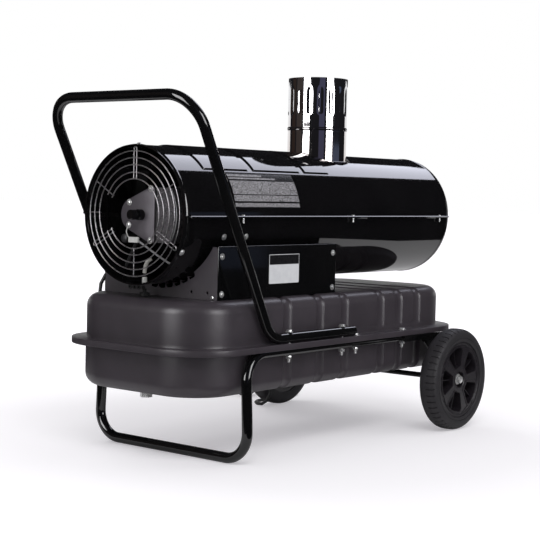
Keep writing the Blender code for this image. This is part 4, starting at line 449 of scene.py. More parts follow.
# Low and high tone, roughness, scale of grain and of patches, metal, bump strength and depth, others
finishRows = (
    ("glossBlack", (0.0035, 0.0033, 0.0038), (0.0052, 0.005, 0.0056), (0.04, 0.07), 320, 9, 0,
     (0.05, 0.00004), (("Specular IOR Level", 0.8),)),
    ("tankGrey", (0.0415, 0.0345, 0.042), (0.0545, 0.0462, 0.0555), (0.3, 0.41), 1500, 14, 0,
     (0.22, 0.00012)),
    ("frameBlack", (0.003, 0.003, 0.0034), (0.0048, 0.0047, 0.005), (0.055, 0.1), 600, 9, 0, (0.05, 0.00004),
     (("Specular IOR Level", 0.7),)),
    # boxGrey: the box's own grey, set darker all over as painted shade for the deep shadow under the body
    ("boxGrey", (0.062, 0.054, 0.063), (0.08, 0.07, 0.081), (0.33, 0.44), 1300, 18, 0, (0.18, 0.0001)),
    ("zinc", (0.86, 0.86, 0.86), (0.95, 0.95, 0.94), (0.22, 0.36), 900, 160, 0.85, (0.1, 0.00005)),
    ("wire", (0.42, 0.41, 0.42), (0.56, 0.54, 0.56), (0.22, 0.38), 700, 60, 1, (0.1, 0.00005)),
    ("tyre", (0.0165, 0.0145, 0.018), (0.026, 0.0232, 0.028), (0.52, 0.72), 900, 25, 0, (0.3, 0.00015)),
    ("rimPlastic", (0.0155, 0.0132, 0.0165), (0.0215, 0.0185, 0.023), (0.24, 0.36), 1400, 30, 0,
     (0.15, 0.00008)),
    ("moulding", (0.008, 0.008, 0.0088), (0.013, 0.0126, 0.0135), (0.34, 0.48), 1600, 60, 0, (0.16, 0.00006)),
    ("darkMetal", (0.018, 0.018, 0.02), (0.03, 0.03, 0.032), (0.36, 0.5), 900, 30, 0, (0.2, 0.0001)),
    ("innerBlack", (0.003, 0.003, 0.0033), (0.006, 0.006, 0.0064), (0.6, 0.75), 900, 30, 0, (0.15, 0.0001),
     (("Specular IOR Level", 0.25),)),
    ("casting", (0.2, 0.2, 0.205), (0.3, 0.3, 0.305), (0.38, 0.55), 900, 50, 0.85, (0.3, 0.00012)),
    ("heatSteel", (0.2, 0.17, 0.15), (0.36, 0.34, 0.33), (0.28, 0.46), 500, 12, 1, (0.12, 0.0001)),
    ("brass", (0.42, 0.28, 0.09), (0.55, 0.38, 0.14), (0.22, 0.36), 900, 90, 1, (0.1, 0.00005)),
    ("clearTube", (0.66, 0.65, 0.6), (0.78, 0.77, 0.73), (0.14, 0.24), 400, 60, 0, (0.05, 0.00005),
     (("Transmission Weight", 0.25),)),
    ("redLens", (0.42, 0.012, 0.008), (0.58, 0.02, 0.012), (0.12, 0.2), 900, 200, 0, (0.06, 0.00004)),
    ("cordJacket", (0.007, 0.007, 0.008), (0.012, 0.0118, 0.0125), (0.36, 0.5), 1800, 70, 0, (0.2, 0.00008)),
    ("softRubber", (0.009, 0.009, 0.01), (0.015, 0.015, 0.016), (0.45, 0.6), 1500, 80, 0, (0.2, 0.00008)),
    ("pumpGrey", (0.085, 0.075, 0.087), (0.11, 0.1, 0.114), (0.32, 0.42), 1100, 40, 0.25, (0.12, 0.00008)),
    ("whitePlastic", (0.62, 0.62, 0.6), (0.72, 0.72, 0.7), (0.3, 0.42), 1200, 150, 0, (0.1, 0.00005)),
    ("greyWire", (0.2, 0.2, 0.21), (0.27, 0.27, 0.28), (0.35, 0.5), 1500, 90, 0, (0.15, 0.00006)),
    ("plateWhite", (0.66, 0.67, 0.7), (0.74, 0.75, 0.77), (0.25, 0.35), 900, 70, 0, (0.05, 0.00003)),
    ("plateBlack", (0.008, 0.008, 0.009), (0.013, 0.013, 0.014), (0.22, 0.3), 900, 80, 0, (0.05, 0.00003)))
finishes = {row[0]: makeFinish(*row) for row in finishRows}


def makeStipple(name):  # grey specks in black, where the photograph has rows of small print
    material, tree, shader, place = nodeSet(name)
    specks = cloud(tree, place, 420, 3, (1, 1, 1.8), 0.85)
    tone = blendTones(tree, between(tree, specks, 0, 1, 0.44, 0.57), (0.02, 0.019, 0.022), (0.46, 0.45, 0.48))
    tree.links.new(tone, shader.inputs["Base Color"])
    tree.links.new(between(tree, specks, 0.34, 0.42), shader.inputs["Roughness"])
    return material


def makeStainless(name):  # mirror sheet with faint lines up the pipe and a warmer tone where it gets hot
    material, tree, shader, place = nodeSet(name)
    streaks = cloud(tree, place, 60, 4, (6, 6, 0.12))
    tree.links.new(between(tree, streaks, 0.035, 0.085), shader.inputs["Roughness"])
    height = addNode(tree, "SeparateXYZ", "Z", {"Vector": place})
    heat = between(tree, height, 1, 0, 0.54, 0.66)
    tone = blendTones(tree, heat, (0.74, 0.74, 0.76), (0.66, 0.6, 0.58))
    tree.links.new(tone, shader.inputs["Base Color"])
    shader.inputs["Metallic"].default_value = 1
    roughened(tree, shader, streaks, 0.03, 0.00005)
    return material


def makeFelt(name):  # coarse speckled fibre of the intake filter
    material, tree, shader, place = nodeSet(name)
    fibres = cloud(tree, place, 520, 5, None, 0.8)
    tone = blendTones(tree, between(tree, fibres, 0, 1, 0.42, 0.6), (0.012, 0.011, 0.0125),
        (0.17, 0.155, 0.17))
    tree.links.new(tone, shader.inputs["Base Color"])
    shader.inputs["Roughness"].default_value = 0.9
    roughened(tree, shader, fibres, 0.6, 0.0006)
    return material


def makeBoard(name):  # lacquered board with paler tracks
    material, tree, shader, place = nodeSet(name)
    tracks = addNode(tree, "TexBrick", "Fac", {"Vector": place}, {"Scale": 160})
    tree.links.new(blendTones(tree, tracks, (0.012, 0.07, 0.026), (0.05, 0.16, 0.06)),
        shader.inputs["Base Color"])
    shader.inputs["Roughness"].default_value = 0.32
    return material


finishes["plateStipple"] = makeStipple("plateStipple")
finishes["mirrorSteel"] = makeStainless("mirrorSteel")
finishes["filterFelt"] = makeFelt("filterFelt")
finishes["circuitBoard"] = makeBoard("circuitBoard")
print("stage: finishes made,", len(finishes))
bpy.context.scene.view_settings.view_transform = "Standard"

# Camera, placed where the photograph was taken from

cameraSpot = {"place": (-2.08006, -1.6862, 0.48008), "forward": (0.7738, 0.6307, -0.0584), "rollDeg": 1.314,
    "sensor": 36, "lens": 90.74}
forward = Vector(cameraSpot["forward"]).normalized()
level = forward.cross(Vector((0, 0, 1))).normalized()
roll = radians(cameraSpot["rollDeg"])
across = level * cos(roll) + level.cross(forward) * sin(roll)
upward = across.cross(forward)
bpy.ops.object.camera_add()
camera = bpy.context.object
camera.matrix_world = shift(cameraSpot["place"]) @ Matrix((across, upward, -forward)).transposed().to_4x4()
camera.data.sensor_width = cameraSpot["sensor"]
camera.data.lens = cameraSpot["lens"]
bpy.context.scene.camera = camera

# Power cord: gland, handle tube, over the tank's lip, down behind the wheel and into its coil on the floor

cord = {"radius": 0.0035, "exit": (-0.2423, 0.1743, 0.33), "spots": 56, "coilMiddle": (0.4077, 0.312),
    "coilRadius": 0.045, "floorZ": 0.0038, "pitch": 0.0075, "topPitch": 0.0087, "turns": 3.5,
    "spotsATurn": 24, "lowTurns": 2, "climb": 0.25,
    "stops": ((-0.2423, 0.1746, 0.33), (-0.2421, 0.182, 0.33), (-0.2412, 0.1935, 0.329),
    (-0.24, 0.207, 0.324), (-0.2405, 0.218, 0.315), (-0.244, 0.2255, 0.303), (-0.249, 0.229, 0.289),
    (-0.251, 0.228, 0.2745), (-0.246, 0.2235, 0.261), (-0.235, 0.2165, 0.25), (-0.218, 0.209, 0.242),
    (-0.195, 0.201, 0.2368), (-0.168, 0.1925, 0.234), (-0.142, 0.1825, 0.2324), (-0.12, 0.1735, 0.2306),
    (-0.1, 0.168, 0.2284), (-0.07, 0.1664, 0.227), (-0.01, 0.1664, 0.227), (0.028, 0.1664, 0.2268),
    (0.056, 0.1664, 0.2175), (0.082, 0.1664, 0.2112), (0.117, 0.1664, 0.2108), (0.152, 0.1664, 0.2108),
    (0.1632, 0.1683, 0.2108), (0.1733, 0.1739, 0.2108), (0.1808, 0.1824, 0.2108), (0.1884, 0.191, 0.2108),
    (0.1985, 0.1966, 0.2108), (0.2117, 0.1985, 0.2108), (0.2248, 0.1985, 0.2087), (0.2356, 0.1985, 0.2017),
    (0.2423, 0.1985, 0.1917), (0.2447, 0.1985, 0.178), (0.2447, 0.1985, 0.145), (0.2447, 0.1985, 0.1),
    (0.2447, 0.1985, 0.06), (0.2447, 0.1992, 0.038), (0.2447, 0.2055, 0.019), (0.245, 0.217, 0.0075),
    (0.2468, 0.231, 0.004), (0.254, 0.2465, 0.0038), (0.27, 0.261, 0.0038), (0.293, 0.2665, 0.0038),
    (0.34, 0.267, 0.0038), (0.4077, 0.267, 0.0038))}


def flowing(stops, count):  # evenly spaced places on a smooth line through the stops
    places = [Vector(stop) for stop in stops]
    places = [2 * places[0] - places[1]] + places + [2 * places[-1] - places[-2]]
    fine = []
    for before, start, end, after in zip(places, places[1:], places[2:], places[3:]):
        for step in range(20):
            share = step / 20
            fine.append(0.5 * (2 * start + (end - before) * share
                + (2 * before - 5 * start + 4 * end - after) * share ** 2
                + (3 * start - before - 3 * end + after) * share ** 3))
    fine.append(places[-2])
    reach = [0]
    for first, second in zip(fine, fine[1:]):
        reach.append(reach[-1] + (second - first).length)
    even, at = [], 0
    for step in range(count):
        goal = reach[-1] * step / (count - 1)
        while at < len(fine) - 2 and reach[at + 1] < goal:
            at += 1
        even.append(fine[at].lerp(fine[at + 1], (goal - reach[at]) / (reach[at + 1] - reach[at])))
    return even


def coilSpot(turn):  # inwards on the floor for two turns and a bit, then up and outwards on top of them
    topStart = cord["lowTurns"] + cord["climb"]
    climb = min(max(turn - cord["lowTurns"], 0) / cord["climb"], 1)
    inward, outward = cord["pitch"] * min(turn, topStart), cord["topPitch"] * max(turn - topStart, 0)
    reach = cord["coilRadius"] - inward + outward
    angle = 2 * pi * turn - pi / 2
    return Vector((cord["coilMiddle"][0] + reach * cos(angle), cord["coilMiddle"][1] + reach * sin(angle),
        cord["floorZ"] + cord["pitch"] * (3 * climb ** 2 - 2 * climb ** 3)))


plug = {"back": 0.3568, "face": 0.3228, "y": 0.351, "height": 0.0178, "pinReach": 0.019, "pinHalf": 0.0095,
    "ribs": 6, "ribStart": 0.0352, "ribPitch": 0.0045, "ribRadius": 0.0074, "taper": 0.0006,
    "groove": 0.0014, "tiltDeg": 3.4}
cordPath = flowing(cord["stops"], cord["spots"])[:-1]
cordPath += [coilSpot(step / cord["spotsATurn"])
    for step in range(int(cord["turns"] * cord["spotsATurn"]) + 1)]
cordPath += [Vector((0.3818, plug["y"], 0.01347)), Vector((0.3688, plug["y"], 0.0155)),
    Vector((plug["back"], plug["y"], plug["height"]))]
powerCord, cordLine = newCurve("powerCord", "3D", cord["radius"], 5)
cordLine.use_fill_caps = True
addLine(cordLine, cordPath).use_smooth = True
cordLine.materials.append(finishes["cordJacket"])
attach(powerCord, "chassis")
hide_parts("power_cord", "cord_coil")

plugMiddle = (plug["face"], plug["y"], plug["height"])
plugBody = spun("plugBody",
    [(0, 0), (0.0135, 0), (0.0168, 0.0022), (0.0175, 0.006), (0.0172, 0.02), (0.0158, 0.0262),
    (0.0158, 0.0278), (0.0172, 0.0296), (0.0165, 0.0325), (0.0105, 0.0348), (0, 0.0352)], plugMiddle, "X",
    48)
softenEdges(plugBody, 0.0006)
reliefRings = [(0, 0.0345), (0.0035, 0.0345)]
for ring in range(plug["ribs"]):  # ribs of the strain relief, thinner towards the cord
    start = plug["ribStart"] + ring * plug["ribPitch"]
    size = plug["ribRadius"] - ring * plug["taper"]
    low = size - plug["groove"]
    reliefRings += [(size, start), (size, start + 0.0026), (low, start + 0.0029), (low, start + 0.0043)]
reliefRings += [(0.0037, 0.0625), (0, 0.0625)]
plugRelief = spun("plugRelief", reliefRings, plugMiddle, "X", 32)
plugRelief.data.transform(shift((plug["face"], 0, plug["height"])) @ swing(plug["tiltDeg"], "Y")
    @ shift((-plug["face"], 0, -plug["height"] - 0.0018)))
plugPins = joined("plugPins",
    [spun("plugPin", [(0, 0), (0.0014, 0), (0.0024, 0.0016), (0.0024, 0.0225), (0, 0.0225)],
    (plug["face"] - plug["pinReach"], plug["y"] + side * plug["pinHalf"], plug["height"]), "X", 24)
    for side in (-1, 1)])
finishPiece(plugBody, "cordJacket", "cord_jacket", "power_plug")
finishPiece(plugRelief, "softRubber", "cord_jacket", "power_plug")
finishPiece(plugPins, "brass", "brass_fitting", "power_plug")
print("stage: camera and cord")

# Pale studio: floor, soft lamps, and cards that only reflections see

studio = {"world": 0.56, "roomRadius": 4.2, "roomHeight": 3.4, "clothZ": 0.004, "cardReach": 3.2,
    "floorSize": 60, "floorLift": (0.34, 0.7, 0.5, 1.7)}


def seenBy(tree, *kinds):  # 1 for the kinds of rays named, else 0
    rays = tree.nodes.new("ShaderNodeLightPath").outputs
    seen = rays[kinds[0]]
    for kind in kinds[1:]:
        seen = addNode(tree, "Math", 0, {0: seen, 1: rays[kind]}, operation="MAXIMUM")
    return seen


world = bpy.data.worlds.new("studio")
bpy.context.scene.world = world
world.use_nodes = True
worldTree = world.node_tree
worldTree.nodes.clear()
strength = between(worldTree, seenBy(worldTree, "Is Camera Ray", "Is Glossy Ray", "Is Transmission Ray"),
    studio["world"], 1, 0, 1)
backdrop = addNode(worldTree, "Background", "Background", {"Strength": strength}, {"Color": (1, 1, 1, 1)})
worldTree.links.new(backdrop, worldTree.nodes.new("ShaderNodeOutputWorld").inputs["Surface"])

floorPaint, floorTree, shader, place = nodeSet("floorPaint")
floorTone = blendTones(floorTree, cloud(floorTree, place, 3), (0.78, 0.77, 0.79), (0.8, 0.795, 0.81))
floorTree.links.new(floorTone, shader.inputs["Base Color"])
seen = seenBy(floorTree, "Is Camera Ray", "Is Transmission Ray")
reach = addNode(floorTree, "VectorMath", "Value", {0: place}, operation="LENGTH")
paler = between(floorTree, reach, *studio["floorLift"])  # away from the heater, where the lamps fall off
lift = addNode(floorTree, "Math", 0, {0: seen, 1: paler}, operation="MULTIPLY")
floorTree.links.new(lift, shader.inputs["Emission Strength"])
for socket, value in (("Roughness", 0.9), ("Specular IOR Level", 0.1),
        ("Emission Color", (0.975, 0.95, 1, 1))):
    shader.inputs[socket].default_value = value
dropSelection()
bpy.ops.mesh.primitive_plane_add(size=studio["floorSize"])
ground = called("floor")
ground.data.materials.append(floorPaint)
ground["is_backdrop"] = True


def glowPaint(name, tone):
    material = bpy.data.materials.new(name)
    material.use_nodes = True
    shader = material.node_tree.nodes["Principled BSDF"]
    for socket, value in (("Base Color", (0, 0, 0, 1)), ("Roughness", 1), ("Specular IOR Level", 0),
            ("Emission Color", (*tone, 1)), ("Emission Strength", 1)):
        shader.inputs[socket].default_value = value
    return material


def mirrorOnly(card, tone):  # a studio card that only reflections see
    card.data.materials.append(glowPaint(card.name, tone))
    card.visible_camera = False
    card.visible_diffuse = False
    card.visible_shadow = False
    card.visible_transmission = False
    card.visible_volume_scatter = False
    card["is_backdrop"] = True


def aimAt(middle, toward):
    return (Vector(toward) - Vector(middle)).to_track_quat("-Z", "Y")


def cardAt(name, middle, toward, width, height, tone):
    dropSelection()
    bpy.ops.mesh.primitive_plane_add(size=1)
    card = bpy.context.object
    card.name = name
    card.matrix_world = (shift(middle) @ aimAt(middle, toward).to_matrix().to_4x4()
        @ Matrix.Diagonal((width, height, 1, 1)))
    bpy.ops.object.transform_apply(location=True, rotation=True, scale=True)
    mirrorOnly(card, tone)


dropSelection()
bpy.ops.mesh.primitive_cylinder_add(vertices=96, radius=studio["roomRadius"], depth=studio["roomHeight"],
    end_fill_type="NGON", location=(0, 0, studio["roomHeight"] / 2 + 0.02))
darkRoom = called("darkRoom")
cameraAzimuth = degrees(atan2(cameraSpot["place"][1], cameraSpot["place"][0]))


def isOpenSide(middle, normal):  # the floor, and the white wall behind the heater
    turn = (degrees(atan2(middle.y, middle.x)) - cameraAzimuth) % 360
    return normal.z < -0.5 or (middle.z < 1 and 132 < turn < 228)


sliceAt(darkRoom, (0, 0, 1), (0, 0, 1))
deleteFaces(darkRoom, isOpenSide)
mirrorOnly(darkRoom, (0.012, 0.012, 0.014))
clothEdge = [(-4.2, -4.2), (4.2, -4.2), (4.2, 4.2), (-4.2, 4.2)]  # dark cloth round a pale sheet on the floor
sheetEdge = [(-0.6, 0.9), (-0.6, -0.3), (0.45, -0.3), (0.62, -0.62), (0.98, -0.4), (1.9, -0.42), (1.9, 0.9)]
floorCloth = sheetOf("floorCloth", [clothEdge, sheetEdge], 0.002, (0, 0, studio["clothZ"]), "Z")
mirrorOnly(floorCloth, (0.01, 0.01, 0.011))

# Soft boxes either side of the camera, then dim screens: turn from the camera, width, low, high, tone
softBoxes = ((-45, 1.5, 0.34, 2.3, (7, 7, 7.1)), (49, 1.4, 0.34, 2.3, (7, 7, 7.1)),
    (17, 1.2, 0.1, 2.2, (0.06, 0.06, 0.1)), (81, 1.9, 0.32, 0.68, (0.07, 0.085, 0.13)),
    (-78, 1.5, 0.1, 2.2, (0.05, 0.041, 0.038)), (-108, 1.2, 0.1, 2.2, (0.03, 0.021, 0.018)))
for number, (turnDeg, width, low, high, tone) in enumerate(softBoxes):
    angle = radians(cameraAzimuth + turnDeg)
    height = (low + high) / 2
    spot = (studio["cardReach"] * cos(angle), studio["cardReach"] * sin(angle), height)
    cardAt(f"softBox_{number}", spot, (0, 0, height), width, high - low, tone)
cardAt("topBank", (2.5, 0.3, 2.4), (2.5, 0.3, 0), 2.24, 1.44, (3, 3.05, 3.5))

for name, middle, width, height, power in (("keyLamp", (-2.0, -2.2, 3.1), 2.2, 1.6, 54),
        ("fillLamp", (2.6, -2.8, 1.7), 1.8, 1.8, 20), ("backLamp", (0.6, 2.8, 2.6), 2.4, 1.4, 26)):
    bpy.ops.object.light_add(type="AREA", location=middle)
    lamp = bpy.context.object
    lamp.name = name
    lamp.rotation_euler = aimAt(middle, (0, 0, 0.3)).to_euler()
    lamp.data.shape = "RECTANGLE"
    lamp.data.size = width
    lamp.data.size_y = height
    lamp.data.energy = power
    lamp.visible_glossy = False
print("stage: studio")

# Body: two pressed half shells with hemmed ends and a lip along each seam

body = {"steps": 144, "hemCuts": (0.0035, 0.006, 0.0085, 0.0105), "hemAt": 0.006, "hemRise": 0.0011,
    "lip": 0.009, "lipEdge": 0.0012, "padRise": 0.0025, "padSlope": 0.0032, "padReachDeg": 47.5,
    "pads": ((0.076, 0.198), (0.212, 0.35), (0.364, 0.442)), "flueHole": 0.0669, "hoseHole": 0.0058,
    "hoseAt": 0.042}


def turnFromTop(co):  # degrees round the body, from its top
    return abs(degrees(atan2(co.y, co.z - axisZ)))


def swell(shell, test, rise):  # moves the picked rows out from the body's axis
    factor = 1 + rise / heater["radius"]
    scaleVerts(shell, test, (1, factor, factor), (0, 0, axisZ))


def makeShell(name, side):
    dropSelection()
    bpy.ops.mesh.primitive_cylinder_add(vertices=body["steps"], radius=heater["radius"],
        depth=heater["length"], end_fill_type="NOTHING",
        location=(alongBody(heater["length"] / 2), 0, axisZ), rotation=(0, pi / 2, 0))
    shell = called(name)
    seam = axisZ + side * (heater["wall"] + heater["gap"] / 2)
    sliceAt(shell, (0, 0, seam), (0, 0, side), clearInner=True)
    for end, inward in ((0, 1), (heater["length"], -1)):  # a shallow bead behind a fine groove at either end
        for step in body["hemCuts"]:
            sliceAt(shell, (alongBody(end + inward * step), 0, 0), (1, 0, 0))
        bead = alongBody(end + inward * body["hemAt"])
        swell(shell, lambda co: abs(co.x - bead) < 0.0005, body["hemRise"])
    if side > 0:
        for start, end in body["pads"]:
            for distance in (start, start + body["padSlope"], end - body["padSlope"], end):
                sliceAt(shell, (alongBody(distance), 0, 0), (1, 0, 0))
        stepDeg = 360 / body["steps"]
        besideDeg = body["padReachDeg"] + stepDeg / 2  # one more row close beside the pads, on the true round
        for deg in (besideDeg, 180 - besideDeg):
            sliceAt(shell, (0, 0, axisZ), (0, -cos(radians(deg)), sin(radians(deg))))
        factor = 1 / cos(radians(stepDeg / 2))
        scaleVerts(shell, lambda co: abs(turnFromTop(co) - besideDeg) < 0.1, (1, factor, factor),
            (0, 0, axisZ))
        padDeg = body["padReachDeg"] + stepDeg / 4
        for start, end in body["pads"]:
            low, high = alongBody(start + body["padSlope"] * 0.9), alongBody(end - body["padSlope"] * 0.9)
            swell(shell, lambda co: low < co.x < high and turnFromTop(co) < padDeg, body["padRise"])
    for sideways in (-1, 1):
        pick(shell, "EDGE", lambda a, b: abs(a.z - seam) < 0.00002 and abs(b.z - seam) < 0.00002
            and a.y * sideways > 0 and abs(a.x - b.x) > 0.0001)
        bpy.ops.mesh.extrude_edges_move(TRANSFORM_OT_translate={"value": (0, sideways * body["lip"], 0)})
        leaveEdit()
    turnRight(shell)
    outer = max(shell.data.polygons, key=lambda face: abs(face.center.z - axisZ))
    if outer.normal.z * side < 0:
        pickAll(shell)
        bpy.ops.mesh.flip_normals()
        leaveEdit()
    thicken(shell, heater["wall"], even=True)
    if side > 0:
        cutAway(shell, barrel("flueHole", (flueX, 0, axisZ), (flueX, 0, axisZ + 0.2), body["flueHole"], 96))
        reach = heater["radius"] + body["lip"]  # the lip's upper edge is broken, and catches the light

        def onLipEdge(a, b):
            return (all(abs(abs(co.y) - reach) < 0.0004 and abs(co.z - seam) < 0.0002 for co in (a, b))
                and abs(a.x - b.x) > 0.0001)

        bevelEdges(shell, onLipEdge, body["lipEdge"], 1)
    else:
        hoseX = alongBody(body["hoseAt"])
        cutAway(shell, barrel("hoseHole", (hoseX, 0.01, 0.28), (hoseX, 0.01, 0.36), body["hoseHole"], 32))
    corners = []
    for sideways in (-1, 1):  # the lips run out before the rims
        for end, inward, length in ((0, 1, 0.006), (heater["length"], -1, 0.016)):
            inner, rim = alongBody(end + inward * length), alongBody(end - inward * 0.002)
            place = [(inner, sideways * 0.134), (rim, sideways * 0.1238), (rim, sideways * 0.134)]
            corners.append(sheetOf("lipCorner", [place], 0.02, (0, 0, seam), "Z"))
    return cutAway(shell, *corners)


upperShell = makeShell("upperShell", 1)
lowerShell = makeShell("lowerShell", -1)
finishPiece(upperShell, "glossBlack", "gloss_paint", "upper_shell", 30)
finishPiece(lowerShell, "glossBlack", "gloss_paint", "lower_shell", 30)
seal = {"y": 0.1262, "half": 0.0038, "thin": 0.00014, "short": 0.004}
seamSeal = joined("seamSeal",
    [boxOf("seamSeal", (alongBody(seal["short"]), side * seal["y"] - seal["half"], axisZ - seal["thin"]),
    (alongBody(heater["length"] - seal["short"]), side * seal["y"] + seal["half"], axisZ + seal["thin"]))
    for side in (-1, 1)])
finishPiece(seamSeal, "softRubber", "seal_rubber", "lower_shell")
flueCollar = spun("flueCollar",
    [(0.0669, 0), (0.0669, 0.0042), (0.0661, 0.0048), (0.0654, 0.0042), (0.0654, 0), (0.0669, 0)],
    (flueX, 0, axisZ + 0.1035), "Z", 96)
print("stage: shells")

# Flue pipe: mirror steel with a rolled bead and a crimped end

flue = {"radius": 0.0599, "wall": 0.001, "bottom": 0.5328, "bead": 0.6052, "crimp": 0.6317, "flutes": 17,
    "sides": 8, "depth": 0.0017,
    "waves": ((0.6367, 0.9), (0.641, 1), (0.6455, 1), (0.651, 0.88), (0.6565, 0.78), (0.662, 0.88),
    (0.668, 1), (0.6736, 1), (0.679, 0.85), (0.6845, 0.5), (0.6885, 0.2), (0.692, 0), (0.7067, 0))}
flueSteps = flue["flutes"] * flue["sides"]
waves = ((flue["crimp"] + 0.002, 0.2), (flue["crimp"] + 0.004, 0.55), *flue["waves"])
beadRise = ((-0.004, 0), (-0.0032, 0), (-0.0024, 0.0004), (-0.001, 0.0011), (0, 0.0014), (0.001, 0.0011),
    (0.0024, 0.0004), (0.0032, 0), (0.004, 0))
pipeLine = [(flue["radius"], flue["bottom"]), (flue["radius"], 0.56)]
pipeLine += [(flue["radius"] + rise, flue["bead"] + above) for above, rise in beadRise]
pipeLine += [(flue["radius"], height)
    for height in (flue["crimp"] - 0.001, flue["crimp"], *(spot[0] for spot in waves))]
fluePipe = spun("fluePipe", pipeLine, (flueX, 0, 0), "Z", flueSteps)
for phase in range(1, flue["sides"]):  # every flute sinks between its ridges, deeper towards its middle
    sink = flue["depth"] * max(0, cos(2 * pi * (phase / flue["sides"] - 0.5)))
    for height, share in waves:
        factor = 1 - sink * share / flue["radius"]

        def inFlute(co):
            turn = round(atan2(co.y, co.x - flueX) / (2 * pi) * flueSteps) % flue["sides"]
            return turn == phase and abs(co.z - height) < 0.0004

        scaleVerts(fluePipe, inFlute, (factor, factor, 1), (flueX, 0, 0))
thicken(fluePipe, flue["wall"])
finishPiece(fluePipe, "mirrorSteel", "stainless", "flue_pipe", 50)
finishPiece(flueCollar, "glossBlack", "gloss_paint", "upper_shell")
print("stage: flue")

# Fuel tank: two drawn bowls, flange against flange, with pressed grooves across both

tank = {"length": 0.8053, "width": 0.3254, "middleX": 0.00435, "corner": 0.093, "fillet": 0.022,
    "wall": 0.0015, "edge": 0.0022, "endReach": 0.0187, "sideReach": 0.0251, "lip": 0.0108,
    "lowerInset": 0.003, "lowerTop": 0.2037, "grooves": (0.284, 0.405, 0.502, 0.651, 0.731, 0.812),
    "grooveWidth": 0.026, "grooveSlope": 0.005, "grooveDepth": 0.003, "grooveEnd": 0.006}


def makeBowl(name, low, high, opensDown, inset, lip):
    height = high - low
    dropSelection()
    bpy.ops.mesh.primitive_cube_add(size=1, location=(tank["middleX"], 0, (low + high) / 2),
        scale=(tank["length"], tank["width"], height))
    bowl = called(name)
    openZ, closedZ = (low, high) if opensDown else (high, low)

    def liesAt(z):
        return lambda a, b: abs(a.z - z) < 0.0001 and abs(b.z - z) < 0.0001

    bevelEdges(bowl, lambda a, b: abs(a.z - b.z) > height / 2, tank["corner"], 20)
    deleteFaces(bowl, lambda middle, normal: abs(middle.z - openZ) < 0.0001)
    bevelEdges(bowl, liesAt(closedZ), tank["fillet"], 8)
    left = tank["middleX"] - tank["length"] / 2
    way = 1 if opensDown else -1
    bandZ = openZ + way * tank["grooveEnd"]
    for rise in (0, 0.004, 0.008):
        sliceAt(bowl, (0, 0, bandZ + way * rise), (0, 0, 1))
    slope = tank["grooveSlope"]
    for share in tank["grooves"]:
        start = left + share * tank["length"]
        end = start + tank["grooveWidth"]
        for x in (start, start + slope / 2, start + slope, end - slope, end - slope / 2, end):
            sliceAt(bowl, (x, 0, 0), (1, 0, 0))
        for part, rise in ((0.9, 0.006), (0.4, 0.002)):
            lowX, highX = start + slope * part, end - slope * part
            pick(bowl, "VERT", lambda co: lowX < co.x < highX and way * (co.z - bandZ) > rise)
            bpy.ops.transform.shrink_fatten(value=-tank["grooveDepth"] / 2)
            leaveEdit()
    pick(bowl, "EDGE", liesAt(openZ))
    bpy.ops.mesh.extrude_edges_move()
    half = Vector((tank["length"] / 2, tank["width"] / 2))
    wide = ((half.x + tank["endReach"] - inset) / half.x, (half.y + tank["sideReach"] - inset) / half.y, 1)
    bpy.ops.transform.resize(value=wide, center_override=(tank["middleX"], 0, openZ))
    if lip:
        bpy.ops.mesh.extrude_edges_move(TRANSFORM_OT_translate={"value": (0, 0, -lip)})
    leaveEdit()
    turnRight(bowl)
    thicken(bowl, tank["wall"], even=True)
    softenEdges(bowl, tank["edge"], 3, 50)
    return bowl


upperTank = makeBowl("upperTank", heater["flangeZ"], heater["tankTop"], True, 0, tank["lip"])
lowerTank = makeBowl("lowerTank", heater["tankBottom"], tank["lowerTop"], False, tank["lowerInset"], 0)
cap = {"x": 0.2077, "y": 0.112, "bottom": 0.2915}
fillerNeck = spun("fillerNeck",
    [(0.0205, 0.284), (0.0205, 0.2993), (0.0212, 0.2998), (0.022, 0.2993), (0.022, 0.289), (0.0232, 0.2876),
    (0.0262, 0.287), (0.0262, 0.286), (0.0205, 0.284)], (cap["x"], cap["y"], 0))
finishPiece(upperTank, "tankGrey", "tank_paint", "tank_upper", 32)
finishPiece(lowerTank, "tankGrey", "tank_paint", "tank_lower", 32)
finishPiece(fillerNeck, "tankGrey", "tank_paint", "tank_upper")
print("stage: tank")

# Frame and handle: gloss black tube with plugged ends

tube = {"radius": 0.0095, "legX": -0.2874, "footY": 0.1846, "bend": 0.048, "railEnd": 0.2097,
    "handleFoot": -0.2224, "handleEnd": 0.0265, "gripX": -0.4332, "gripZ": 0.6355, "gripBend": 0.062}
railZ, handleZ = heater["railZ"], heater["handleZ"]


def bothSides(*corners):  # a tube's corners down the near side and back up the far one
    return [(x, -y, z) for x, y, z in corners] + [(x, y, z) for x, y, z in reversed(corners)]


frameCorners = bothSides((tube["railEnd"], railY, railZ), (tube["legX"], railY, railZ),
    (tube["legX"], tube["footY"], tube["radius"]))
handleCorners = bothSides((tube["handleEnd"], railY, handleZ), (tube["handleFoot"], railY, handleZ),
    (tube["gripX"], railY, tube["gripZ"]))
supportFrame = tubeAlong("supportFrame", bentPath(frameCorners, (tube["bend"],) * 4, 20), tube["radius"], 8)
handleBends = (tube["bend"], tube["gripBend"], tube["gripBend"], tube["bend"])
pushHandle = tubeAlong("pushHandle", bentPath(handleCorners, handleBends, 24), tube["radius"], 8)
plugs = [spun("tubePlug",
    [(0, 0), (0.0094, 0), (0.0094, 0.0012), (0.0082, 0.0026), (0.004, 0.0033), (0, 0.0034)],
    (x, side * railY, z), "X", 40) for side in (-1, 1)
    for x, z in ((tube["railEnd"], railZ), (tube["handleEnd"], handleZ))]
tubePlugs = joined("tubePlugs", plugs)
finishPiece(supportFrame, "frameBlack", "frame_paint", "support_frame")
finishPiece(pushHandle, "frameBlack", "frame_paint", "push_handle")
finishPiece(tubePlugs, "moulding", "moulding", "support_frame push_handle")

# Frame bolts: hexagon head, washer, nut and tail, modelled once

